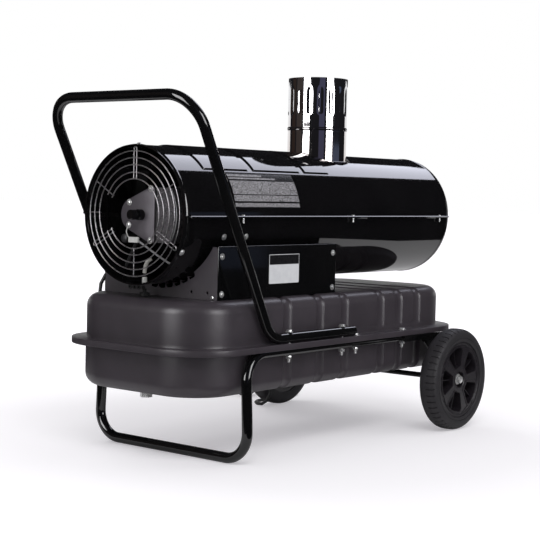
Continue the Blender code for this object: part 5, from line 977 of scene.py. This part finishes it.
bolt = {"head": 0.0058, "headHeight": 0.0042, "nutTop": 0.1841, "nutHeight": 0.005, "tail": 0.007,
    "core": 0.00275, "threads": 9, "pitch": 0.00075}


def makeBolt(name, seat):
    head = barrel("boltHead", (0, 0, seat + 0.0009), (0, 0, seat + bolt["headHeight"]), bolt["head"], 6)
    softenEdges(head, 0.0007, 3, 40)
    washer = spun("boltWasher",
        [(0, 0), (0.0072, 0), (0.0074, 0.0003), (0.0074, 0.0007), (0.0072, 0.001), (0, 0.001)],
        (0, 0, seat), "Z", 32)
    nutBottom = bolt["nutTop"] - bolt["nutHeight"]
    nut = barrel("boltNut", (0, 0, nutBottom), (0, 0, bolt["nutTop"]), bolt["head"], 6)
    softenEdges(nut, 0.0006, 2, 40)
    tip = nutBottom - bolt["tail"]
    threads = [(0, tip), (0.0024, tip)]
    for step in range(bolt["threads"]):
        at = tip + 0.0005 + step * bolt["pitch"]
        threads += [(bolt["core"], at), (0.003, at + 0.0002), (bolt["core"], at + 0.0005)]
    threads += [(bolt["core"], seat), (0, seat)]
    return joined(name, [head, washer, nut, spun("boltShank", threads, (0, 0, 0), "Z", 16)])


handleBolt = makeBolt("handleBolt", 0.2266)
flangeBolt = makeBolt("flangeBolt", 0.2073)
for number, x in enumerate((-0.1688, -0.0083, 0.0362, 0.1957)):
    for side, label in ((-1, "near"), (1, "far")):
        made = copied(handleBolt if number < 2 else flangeBolt, f"frameBolt{label.title()}{number + 1}",
            shift((x, side * railY, 0)) @ swing(20 + 31 * number + 12 * side, "Z"))
        finishPiece(made, "zinc", "zinc", f"frame_bolt_{label}_{number + 1}", 30)
for spare in (handleBolt, flangeBolt):
    bpy.data.objects.remove(spare)
print("stage: frame, handle, bolts")

# Wheels: solid tyre with cross slots on the outer half of its tread, and a rim with five flared spokes

wheel = {"x": heater["axleX"], "z": heater["axleZ"], "pockets": 5, "firstDeg": 109, "steps": 240,
    "slotEvery": 5, "rimHole": 0.0185, "rimEdge": 0.0716, "ribDeg": -3}
hub = (wheel["x"], 0, wheel["z"])


def hubAt(y):
    return (wheel["x"], y, wheel["z"])


tyreNear = spun("tyreNear",
    [(0.0769, 0.2459), (0.0781, 0.247), (0.081, 0.2477), (0.0828, 0.2478), (0.0834, 0.2471),
    (0.0852, 0.2471), (0.0858, 0.248), (0.0905, 0.2481), (0.0945, 0.2475), (0.0978, 0.2461),
    (0.1003, 0.2438), (0.102, 0.2408), (0.1029, 0.2375), (0.1032, 0.233), (0.1033, 0.2284),
    (0.1032, 0.2239), (0.1029, 0.2194), (0.102, 0.2161), (0.1003, 0.2131), (0.0978, 0.2108),
    (0.0945, 0.2094), (0.0905, 0.2088), (0.0858, 0.2089), (0.0769, 0.2108), (0.0769, 0.2459)], hub, "-Y",
    wheel["steps"])


def inSlot(middle, normal):
    reach, turn = sectorAt(middle.x - wheel["x"], middle.z - wheel["z"], 360 / wheel["steps"])
    return turn % wheel["slotEvery"] == 0 and reach > 0.0985 and -0.2462 < middle.y < -0.2284


insetFaces(tyreNear, inSlot, 0.0007, -0.0018)
rimBarrel = spun("rimBarrel",
    [(0.0706, 0.2128), (0.0766, 0.2128), (0.0766, 0.2443), (0.0758, 0.2451), (0.073, 0.2449),
    (0.0722, 0.2441), (0.0706, 0.2436), (0.0706, 0.2128)], hub, "-Y", 160)
rimHub = spun("rimHub", [(0.0058, 0.2028), (0.0195, 0.2028), (0.0195, 0.2438), (0.0187, 0.2447),
    (0.0172, 0.2447), (0.0163, 0.244), (0.0163, 0.2345), (0.0112, 0.2345), (0.0108, 0.2381),
    (0.0058, 0.2381), (0.0058, 0.2028)], hub, "-Y", 96)


def pocketLoop(middle, grow):  # one opening between two spokes, grown or shrunk all round
    outer, inner = 0.0662 + grow, 0.0275 - grow
    wide, narrow = radians(25.5) + grow / outer, radians(22) + grow / inner
    bulge = outer / cos(wide / 2)
    corners = ((inner, -narrow), (outer, -wide), (bulge, -wide / 2), (bulge, wide / 2), (outer, wide),
        (inner, narrow))
    return roundedLoop([(radius * cos(middle + turn), radius * sin(middle + turn))
        for radius, turn in corners], (0.004 + grow, 0.008 + grow, 0.05, 0.05, 0.008 + grow, 0.004 + grow), 6)


rimParts, pocketRibs, pocketHoles = [rimBarrel, rimHub], [], []
for number in range(wheel["pockets"]):
    middle = radians(wheel["firstDeg"] + 72 * number)
    pocketHoles.append(pocketLoop(middle, 0))
    rimParts.append(sheetOf("pocketWall", [pocketLoop(middle, 0.0008), pocketLoop(middle, -0.0008)], 0.0292,
        hubAt(-0.2293), "Y", 0.0003))
    rimParts.append(sheetOf("pocketLip", [pocketLoop(middle, 0.0016), pocketLoop(middle, -0.0003)], 0.0016,
        hubAt(-0.2443), "Y", 0.0005))
    rib = boxOf("pocketRib", (0.029, -0.2385, -0.0007), (0.067, -0.2145, 0.0007))
    rib.data.transform(shift(hub) @ Matrix.Rotation(-(middle + radians(wheel["ribDeg"])), 4, "Y"))
    pocketRibs.append(rib)
faceRings = [ringOf((0, 0), wheel["rimEdge"], 120), ringOf((0, 0), wheel["rimHole"], 60)]
rimFace = sheetOf("rimFace", [*faceRings, *pocketHoles], 0.0022, hubAt(-0.243), "Y", 0.0003)
rimBack = sheetOf("rimBack", faceRings, 0.0015, hubAt(-0.2146), "Y")
rimNear = joined("rimNear", [*rimParts, rimFace, rimBack, *pocketRibs])
axleNut = barrel("axleNut", (0, -0.2472, 0), (0, -0.24, 0), 0.0082, 6)
softenEdges(axleNut, 0.0009, 3, 40)
axleWasher = spun("axleWasher",
    [(0, 0.2384), (0.0108, 0.2384), (0.0112, 0.2388), (0.0112, 0.2396), (0.0108, 0.24), (0, 0.24)],
    (0, 0, 0), "-Y", 40)
axleTip = spun("axleTip", [(0, 0.2476), (0.0028, 0.2476), (0.0046, 0.2467), (0.0046, 0.24), (0, 0.24)],
    (0, 0, 0), "-Y", 32)
axleNutNear = joined("axleNutNear", [axleNut, axleWasher, axleTip])
axleNutNear.data.transform(shift(hub))
toFarSide = shift(hub) @ swing(180, "Z") @ shift(-Vector(hub))
for kind, piece, finish, slot, rider, smoothDeg in (("tyre", tyreNear, "tyre", "tyre_rubber", "wheel", 28),
        ("rim", rimNear, "rimPlastic", "moulding", "wheel", 20),
        ("axleNut", axleNutNear, "zinc", "zinc", "chassis", 30)):
    far = copied(piece, kind + "Far", toFarSide)
    for made, label in ((piece, "near"), (far, "far")):
        node = kind.replace("axleNut", "axle_nut") + "_" + label
        rides = "chassis" if rider == "chassis" else f"{rider}_{label}"
        finishPiece(made, finish, slot, node, smoothDeg, rides)
print("stage: wheels")

# Wire guard in the intake, with hairpin eyes under its three screws

guard = {"x": -0.3893, "wire": 0.0011, "rings": (0.1117, 0.0996, 0.0871, 0.0737, 0.0621), "openDeg": 26,
    "pairHalf": 0.0034, "share": 0.982, "middleY": 0.0014, "middleZ": 0.0018, "steps": 96, "closedRings": 3,
    "pinStart": 0.0612, "pinEnd": 0.1152, "spokeEnd": 0.1128}
ahead = 1.75 * guard["wire"]


def guardSpot(distance, turnDeg, aside=0, before=0):
    angle = radians(turnDeg)
    distance *= guard["share"]
    return Vector((guard["x"] + before, guard["middleY"] + distance * cos(angle) - aside * sin(angle),
        guard["middleZ"] + axisZ + distance * sin(angle) + aside * cos(angle)))


def spokeWire(start, turnDeg):
    return tubeAlong("guardSpoke",
        [guardSpot(distance, turnDeg, 0, ahead) for distance in (start, guard["spokeEnd"])],
        guard["wire"], 4)


wires = []
for number, radius in enumerate(guard["rings"]):
    isOpen = number >= guard["closedRings"]
    first, last = (guard["openDeg"], 360 - guard["openDeg"]) if isOpen else (0, 360)
    ring = [guardSpot(radius, first + (last - first) * step / guard["steps"])
        for step in range(guard["steps"] + (1 if isOpen else 0))]
    wires.append(tubeAlong("guardRing", ring, guard["wire"], 4, cyclic=not isOpen))
for number in range(6):
    turnDeg = 90 + 60 * number
    if number % 2:
        wires.append(spokeWire(guard["pinStart"], turnDeg))
        continue
    start, end, half = guard["pinStart"], guard["pinEnd"], guard["pairHalf"]
    bow = [(end + half * sin(radians(step)), -half * cos(radians(step))) for step in range(15, 180, 15)]
    pin = [(start, -half), (end, -half), *bow, (end, half), (start, half)]
    wires.append(tubeAlong("guardPin",
        [guardSpot(distance, turnDeg, aside, ahead) for distance, aside in pin], guard["wire"], 4))
wires.append(spokeWire(0.086, 0))
finishPiece(joined("fanGuard", wires), "wire", "plated_wire", "fan_guard", 60)
print("stage: guard")

# Screws, modelled once each: a washer-head screw with a cross recess, and a small pan head

def makeScrew(name, radius, rise, washer):
    outline = [(0, rise), (radius * 0.45, rise * 0.97), (radius * 0.8, rise * 0.78), (radius, rise * 0.38),
        (radius, rise * 0.2)]
    if washer:
        outline += [(washer, rise * 0.2), (washer, 0)]
    outline += [(radius * 0.6, 0), (radius * 0.6, -0.0005), (0, -0.0005), (0, rise)]
    screw = spun(name, outline, (0, 0, 0), "Z", 32)
    long, short = radius * 0.55, radius * 0.12
    return cutAway(screw, *[boxOf("slot", (-x, -y, rise * 0.5), (x, y, rise * 1.5))
        for x, y in ((long, short), (short, long))])


def screwSet(name, model, places, nodes):
    made = [copied(model, name, shift(place)
        @ Vector(direction).to_track_quat("Z", "Y").to_matrix().to_4x4() @ swing(37 * number + 11, "Z"))
        for number, (place, direction) in enumerate(places)]
    finishPiece(joined(name, made), "zinc", "zinc", nodes, 32)


coverScrew = makeScrew("coverScrew", 0.0042, 0.0031, 0.0058)
panHead = makeScrew("panHead", 0.0034, 0.0023, 0)

# Air pump at the intake: cover, filter, pressure knob and the small parts hung round it

pump = {"x": -0.3723, "thick": 0.0025, "half": 0.0485, "near": -0.031, "elbow": -0.021, "tip": 0.0934,
    "bodyThick": 0.031, "gap": 0.0003,
    "screws": ((0.0296, 0.4535), (-0.0229, 0.4787), (0.0304, 0.4136), (-0.0225, 0.3877))}


def pumpLoop(inset):
    near, half, elbow = pump["near"] + inset, pump["half"] - inset, pump["elbow"] + inset * 0.5
    return roundedLoop([(near, -half), (near, half), (elbow, half), (pump["tip"] - inset * 2, 0),
        (elbow, -half)], (0.004, 0.004, 0.012, 0.028, 0.012), 10)


pumpCover = sheetOf("pumpCover", [pumpLoop(0)], pump["thick"], (pump["x"] + pump["thick"] / 2, 0, axisZ),
    "X", 0.0005)
bodyX = pump["x"] + pump["thick"] + pump["gap"] + pump["bodyThick"] / 2
pumpBody = sheetOf("pumpBody", [pumpLoop(0.0015)], pump["bodyThick"], (bodyX, 0, axisZ), "X", 0.0006)
finishPiece(pumpCover, "pumpGrey", "casting", "pump_cover")
finishPiece(pumpBody, "casting", "casting", "pump_body")
screwSet("pumpScrews", coverScrew, [((pump["x"], y, z), (-1, 0, 0)) for y, z in pump["screws"]], "pump_cover")
pressureKnob = spun("pressureKnob",
    [(0, -0.0075), (0.003, -0.0075), (0.003, 0), (0.0095, 0), (0.0095, 0.0095), (0.0085, 0.011),
    (0.0055, 0.0115), (0.0055, 0.0145), (0.0078, 0.0152), (0.0088, 0.0162), (0.0088, 0.0268),
    (0.0076, 0.028), (0.0036, 0.0281), (0.0036, 0.0272), (0, 0.0272)], (-0.3726, 0, axisZ), "-X", 48)


def onKnurl(middle, normal):
    reach, turn = sectorAt(middle.y, middle.z - axisZ, 7.5)
    onCap = reach > 0.0084 and -0.4 < middle.x < -0.388
    onFitting = reach > 0.009 and -0.3818 < middle.x < -0.373
    return turn % 2 == 0 and (onCap or onFitting)


insetFaces(pressureKnob, onKnurl, 0.0002, -0.0006)
finishPiece(pressureKnob, "frameBlack", "moulding", "pressure_knob", 32, "pressure_dial")

filterFelt = sheetOf("filterCover",
    [arcOf((0, 0), 0.0806, 144.5, 215.5, 24) + [(-0.0335, -0.0466), (-0.0335, 0.0466)]], 0.026,
    (-0.3548, 0, axisZ), "X", 0.0015)
sliceAt(filterFelt, (-0.3655, 0, 0), (1, 0, 0))
finishPiece(filterFelt, "filterFelt", "casting", "filter_cover")
filterRim = tubeAlong("filterFrame",
    [(-0.3668, y, axisZ + z) for y, z in arcOf((0, 0), 0.0807, 144.5, 215.5, 24)], 0.0014, 4)
filterBack = sheetOf("filterBack",
    [arcOf((0, 0), 0.0834, 145, 215, 24) + [(-0.036, -0.0466), (-0.036, 0.0466)]], 0.0022,
    (-0.3405, 0, axisZ), "X", 0.0005)
finishPiece(joined("filterFrame", [filterRim, filterBack]), "casting", "casting", "filter_cover")

connector = boxOf("connector", (-0.3752, 0.0058, 0.3828), (-0.3706, 0.0284, 0.3926), 0.0008)
insetFaces(connector, lambda middle, normal: normal.x < -0.9, 0.0016, -0.0008)
finishPiece(connector, "whitePlastic", "moulding", "pump_body")
leads = {
    "leadOne": (((-0.3725, 0.0325, 0.4105), (-0.3745, 0.0345, 0.402), (-0.3742, 0.0302, 0.3935),
                 (-0.3722, 0.026, 0.389)), (0.006, 0.006), 0.0009, 4, "whitePlastic", "moulding pump_body"),
    "leadTwo": (((-0.3705, 0.008, 0.386), (-0.366, -0.006, 0.377), (-0.361, -0.03, 0.362),
                 (-0.352, -0.052, 0.348), (-0.33, -0.072, 0.3445)), (0.01, 0.015, 0.012), 0.0019, 5,
                "greyWire", "moulding pump_body"),
    "hoseLead": (((-0.3503, 0.011, 0.3285), (-0.3503, 0.009, 0.3405), (-0.3503, 0.0045, 0.3495),
                  (-0.345, -0.0005, 0.3545)), (0.008, 0.008), 0.0037, 6, "clearTube", "clear_tube fuel_hose")}
for name, (corners, bends, radius, detail, finish, slotAndNode) in leads.items():
    finishPiece(tubeAlong(name, bentPath(corners, bends, 6), radius, detail), finish, *slotAndNode.split())
capacitor = spun("capacitor",
    [(0, 0), (0.0062, 0), (0.0078, 0.0012), (0.008, 0.003), (0.008, 0.026), (0, 0.026)],
    (-0.3648, 0.0505, 0.389), "X", 40)
finishPiece(capacitor, "darkMetal", "dark_metal", "motor")
hoseNipple = spun("hoseNipple",
    [(0.0036, 0), (0.0046, 0), (0.0046, 0.0085), (0.004, 0.0095), (0.0036, 0.0095), (0.0036, 0)],
    (-0.3503, 0.0105, 0.3118), "Z", 32)
finishPiece(hoseNipple, "whitePlastic", "clear_tube", "fuel_hose")
print("stage: pump")

# Control box: folded chassis with concave end plates, two folded side panels and their screws

saddle = {"radius": 0.14986, "middleZ": 0.17156, "reachDeg": 57.93, "endHalf": 0.1375, "height": 0.092,
    "teethFrom": -124, "teethTo": -82, "toothDeg": 7, "bite": 0.0075, "steps": 180}
box = {"wall": 0.0015, "baseHalf": 0.1367, "holeZ": 0.012, "holeY": 0.0396, "holePitch": 0.0111}


def endPlate(name, x, teeth, holes):
    half, high = saddle["endHalf"], saddle["height"]
    outline = roundedLoop([(half, high), (half, 0), (-half, 0), (-half, high)],
        (0.0055, 0.0015, 0.0015, 0.0055), 6)
    start, end = -90 - saddle["reachDeg"], saddle["reachDeg"] - 90
    arc = []
    for step in range(saddle["steps"] + 1):
        deg = start + (end - start) * step / saddle["steps"]
        radius = saddle["radius"]
        # bites between the bent tabs under the body
        if teeth and saddle["teethFrom"] < deg < saddle["teethTo"]:
            share = ((deg - saddle["teethFrom"]) / saddle["toothDeg"]) % 1
            radius += saddle["bite"] * min(1, 2.4 * max(0, sin(pi * share)))
        arc.append((radius * cos(radians(deg)), saddle["middleZ"] + radius * sin(radians(deg))))
    return sheetOf(name, [outline + arc, *holes], box["wall"], (x, 0, boxFloor), "X", 0.0003)


holeSpots = [box["holeY"] + number * box["holePitch"] for number in range(4)]
leftHoles = [ringOf((y, box["holeZ"]), 0.0034, 24) for y in holeSpots]
leftHoles += [ringOf((y, box["holeZ"]), 0.0029, 16) for y in (-0.0777, -0.115)]
leftPlate = endPlate("leftPlate", boxLeft + box["wall"] / 2, True, leftHoles)
rightPlate = endPlate("rightPlate", boxRight - box["wall"] / 2, False, [])
boxBase = boxOf("boxBase", (boxLeft + 0.0008, -box["baseHalf"], boxFloor + 0.0003),
    (boxRight - 0.0008, box["baseHalf"], boxFloor + 0.0018), 0.0004)
finishPiece(leftPlate, "boxGrey", "box_paint", "box_chassis", 18)
finishPiece(rightPlate, "boxGrey", "box_paint", "box_chassis", 18)
finishPiece(boxBase, "boxGrey", "box_paint", "box_chassis")
tabs = []
for number in range(7):  # the tabs themselves, bent back under the body
    deg = saddle["teethFrom"] + saddle["toothDeg"] * number
    y = saddle["radius"] * cos(radians(deg))
    z = boxFloor + saddle["middleZ"] + saddle["radius"] * sin(radians(deg))
    tab = boxOf("boxTab", (0, -0.0018, -0.0007), (0.009, 0.0018, 0.0007), 0.0005)
    tab.data.transform(shift((boxLeft + 0.0004, y, z - 0.0009)) @ swing(deg + 90, "X"))
    tabs.append(tab)
finishPiece(joined("boxTabs", tabs), "boxGrey", "box_paint", "box_chassis")
grommets = [spun("cableGrommet",
    [(0.0022, -0.0006), (0.0032, -0.001), (0.0044, -0.0006), (0.0046, 0.0002), (0.0044, 0.0008),
    (0.0024, 0.0008), (0.0022, -0.0006)], (boxLeft - 0.0006, y, boxFloor + box["holeZ"]), "-X", 32)
    for y in holeSpots]
finishPiece(joined("cableGrommets", grommets), "softRubber", "seal_rubber", "box_chassis")


def foldedPanel(name, side):
    outer, top = side * boxHalf, heater["boxTop"] + 0.0018
    fold = bentPath([(boxLeft, outer, boxFloor), (boxLeft, outer, top),
        (boxLeft, outer - side * 0.012, top)], (0.0022,), 6)
    panel = drawnLine(name, fold)
    bpy.ops.mesh.extrude_edges_move(TRANSFORM_OT_translate={"value": (boxRight - boxLeft, 0, 0)})
    leaveEdit()
    turnRight(panel)
    face = max(panel.data.polygons, key=lambda item: item.area)
    thicken(panel, box["wall"], -1 if face.normal.y * side > 0 else 1)
    turnRight(panel)
    softenEdges(panel, 0.0004, 2, 60)
    return panel


knob = {"x": -0.1173, "z": 0.337, "back": 0.1444}
nearPanel = foldedPanel("nearPanel", -1)
farPanel = foldedPanel("farPanel", 1)
panelHoles = [barrel("panelHole", (x, 0.12, z), (x, 0.15, z), radius, 32)
    for x, z, radius in ((knob["x"], knob["z"], 0.0052), (-0.1673, 0.337, 0.0078), (-0.1993, 0.337, 0.0048),
    (-0.2423, 0.33, 0.0078))]
panelHoles.append(boxOf("panelHole", (-0.0671, 0.12, 0.3232), (-0.0475, 0.15, 0.3508)))
cutAway(farPanel, *panelHoles)
finishPiece(nearPanel, "frameBlack", "gloss_paint", "side_panel", 18)
finishPiece(farPanel, "frameBlack", "gloss_paint", "control_panel", 18)
screwSet("plateScrew", panHead, [((boxLeft, -0.1278, boxFloor + 0.0045), (-1, 0, 0))], "box_chassis")
plateClip = boxOf("plateClip", (boxLeft - 0.0012, -0.0445, 0.3368), (boxLeft + 0.0004, -0.0377, 0.3388),
    0.0005)
finishPiece(plateClip, "zinc", "zinc", "box_chassis")
for name, side, nodes in (("nearPanelScrews", -1, "side_panel"), ("farPanelScrews", 1, "control_panel")):
    screwSet(name, coverScrew,
        [((alongBody(distance), side * boxHalf, z), (0, side, 0)) for distance in (0.079, 0.3986)
        for z in (0.364, 0.2984)], nodes)

# Screws and small folded tabs of the body shells

fixing = {"seams": (0.1474, 0.4785, 0.7928), "seamY": 0.1268, "seamRise": 0.0017, "flanks": (0.1078, 0.167),
    "flankDeg": -17, "guardX": -0.3805, "guardReach": 0.1228, "tabs": (0.51, 0.762), "tabHalf": 0.011,
    "tailY": 0.1275}
seamSpots = [alongBody(distance) for distance in fixing["seams"]]
screwSet("seamScrews", panHead,
    [((x, side * fixing["seamY"], axisZ + fixing["seamRise"]), (0, 0, 1)) for x in seamSpots
    for side in (-1, 1)], "upper_shell")


def onRound(x, reach, out):
    return Vector((x, 0, axisZ)) + Vector(out) * reach, Vector(out)


flank = (cos(radians(fixing["flankDeg"])), sin(radians(fixing["flankDeg"])))
screwSet("shellScrews", coverScrew,
    [onRound(alongBody(distance), heater["radius"], (0, side * flank[0], flank[1]))
    for distance in fixing["flanks"] for side in (-1, 1)], "lower_shell")
screwSet("guardScrews", coverScrew,
    [onRound(fixing["guardX"], fixing["guardReach"], (0, cos(radians(deg)), sin(radians(deg))))
    for deg in (90, 210, 330)], "upper_shell lower_shell")
seamTabs = []
for distance in fixing["tabs"]:
    left, right = alongBody(distance) - fixing["tabHalf"], alongBody(distance) + fixing["tabHalf"]
    for inner, outer in ((-0.1309, -0.1228), (0.1228, 0.1309)):
        seamTabs.append(boxOf("seamTab", (left, inner, 0.4292), (right, outer, 0.4304), 0.0004))
for x in seamSpots:
    for y in (-fixing["tailY"], fixing["tailY"]):
        seamTabs.append(barrel("screwTail", (x, y, 0.4303), (x, y, 0.4215), 0.0017, 16))
finishPiece(joined("seamTabs", seamTabs), "zinc", "zinc", "lower_shell")
for screw in (coverScrew, panHead):
    bpy.data.objects.remove(screw)

# Bare plates where the labels are

def curvedPlate(name, startX, endX, startDeg, endDeg, rise, thick):
    reach = heater["radius"] + rise
    y, z = -reach * cos(radians(startDeg)), axisZ + reach * sin(radians(startDeg))
    plate = drawnLine(name, [Vector((startX, y, z)), Vector((endX, y, z))])
    bpy.ops.mesh.spin(steps=32, angle=radians(endDeg - startDeg), center=(0, 0, axisZ), axis=(1, 0, 0))
    leaveEdit()
    top = max(plate.data.vertices, key=lambda item: abs(item.co.z - axisZ))
    if top.co.z < axisZ:
        plate.data.transform(shift((0, 0, 2 * axisZ)) @ Matrix.Scale(-1, 4, (0, 0, 1)))
    turnRight(plate)
    face = plate.data.polygons[0]
    outward = face.center - Vector((face.center.x, 0, axisZ))
    thicken(plate, thick, 1 if face.normal.dot(outward) > 0 else -1)
    return plate


def flatPlate(name, low, high, corner):
    plate = boxOf(name, low, high)
    bevelEdges(plate, lambda a, b: abs(a.y - b.y) > 0.0002, corner, 4)
    return plate


bodyPlate = curvedPlate("bodyPlate", -0.2605, -0.075, 7.5, 38.5, 0.0003, 0.00018)
finishPiece(bodyPlate, "plateBlack", "gloss_paint", "upper_shell")
bands = [curvedPlate("plateBand", -0.26, endX, lowDeg, highDeg, 0.0005, 0.0001)
    for lowDeg, highDeg, endX in ((35.4, 37.4, -0.165), (32.8, 34.4, -0.128), (19, 31.2, -0.0765),
    (13, 18.2, -0.0765), (8.2, 11.4, -0.0765))]
finishPiece(joined("plateBands", bands), "plateStipple", "gloss_paint", "upper_shell")
ratingPlate = flatPlate("ratingPlate", (-0.1848, -0.13965, 0.3116), (-0.098, -0.1393, 0.3646), 0.0016)
ratingHead = flatPlate("ratingHead", (-0.1838, -0.13985, 0.3462), (-0.099, -0.1396, 0.3636), 0.0012)
finishPiece(ratingPlate, "plateWhite", "gloss_paint", "side_panel")
finishPiece(ratingHead, "plateBlack", "gloss_paint", "side_panel")
print("stage: box, screws and plates")

# Far side: thermostat knob with its scale, and the filler cap with finger grips

thermostatKnob = spun("thermostatKnob",
    [(0, 0), (0.019, 0), (0.019, 0.002), (0.0168, 0.0034), (0.0158, 0.0145), (0.0142, 0.016),
    (0.0062, 0.0156), (0, 0.0154), (0, 0)], (knob["x"], knob["back"], knob["z"]), "Y", 72)


def onGrip(middle, normal):
    reach, turn = sectorAt(middle.z - knob["z"], middle.x - knob["x"], 10)
    return turn % 2 == 0 and 0.0158 < reach < 0.0168 and 0.004 < middle.y - knob["back"] < 0.014


insetFaces(thermostatKnob, onGrip, 0.0004, -0.0007)
finishPiece(thermostatKnob, "moulding", "moulding", "thermostat_knob", 32, "thermostat_dial")
knobPointer = boxOf("knobPointer", (knob["x"] - 0.0007, knob["back"] + 0.0152, knob["z"] + 0.003),
    (knob["x"] + 0.0007, knob["back"] + 0.016, knob["z"] + 0.0135), 0.0002)
finishPiece(knobPointer, "plateWhite", "moulding", "thermostat_knob", body="thermostat_dial")
ticks = []
for number in range(11):
    tick = boxOf("scaleTick", (0.0225, -0.00008, -0.0004), (0.026 if number % 5 else 0.0275, 0.00012, 0.0004))
    tick.data.transform(shift((knob["x"], boxHalf + 0.0001, knob["z"])) @ swing(45 - 27 * number, "Y"))
    ticks.append(tick)
finishPiece(joined("scaleTicks", ticks), "plateWhite", "gloss_paint", "control_panel")

fillerCap = spun("fillerCap",
    [(0, 0.0215), (0.0245, 0.0215), (0.0245, 0.0006), (0.0252, 0), (0.0283, 0), (0.029, 0.0007),
    (0.029, 0.0215), (0.0284, 0.0238), (0.0268, 0.0253), (0.0245, 0.026), (0.012, 0.026), (0.0095, 0.0252),
    (0, 0.025), (0, 0.0215)], (cap["x"], cap["y"], cap["bottom"]), "Z", 96)


def onRidge(middle, normal):
    reach, turn = sectorAt(middle.y - cap["y"], middle.x - cap["x"], 7.5)
    return turn % 2 == 0 and reach > 0.0285 and 0.002 < middle.z - cap["bottom"] < 0.021


insetFaces(fillerCap, onRidge, 0.0006, -0.0009)
finishPiece(fillerCap, "moulding", "moulding", "filler_cap", 32, "tank_cap")

# Everything still shown as its CAD solid gets its finish

keptFinishes = {
    "zinc": "drain_plug fuel_strainer motor_shaft", "softRubber": "drain_seal air_hose",
    "moulding": "fuel_gauge switch_bezel reset_sleeve cord_gland fan rocker",
    "frameBlack": "axle_bracket_near axle_bracket_far axle", "clearTube": "fuel_hose",
    "innerBlack": "fuel_outlet motor motor_bracket burner_head", "heatSteel": "combustion_chamber",
    "darkMetal": "thermostat_body ignition_transformer", "redLens": "indicator_lamp reset_button",
    "circuitBoard": "control_board"}
for finish, names in keptFinishes.items():
    for name in names.split():
        solid = frame["nodes"][name]
        solid.data.materials.clear()
        solid.data.materials.append(finishes[finish])
print("stage: far side, cap and kept solids")

low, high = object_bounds()
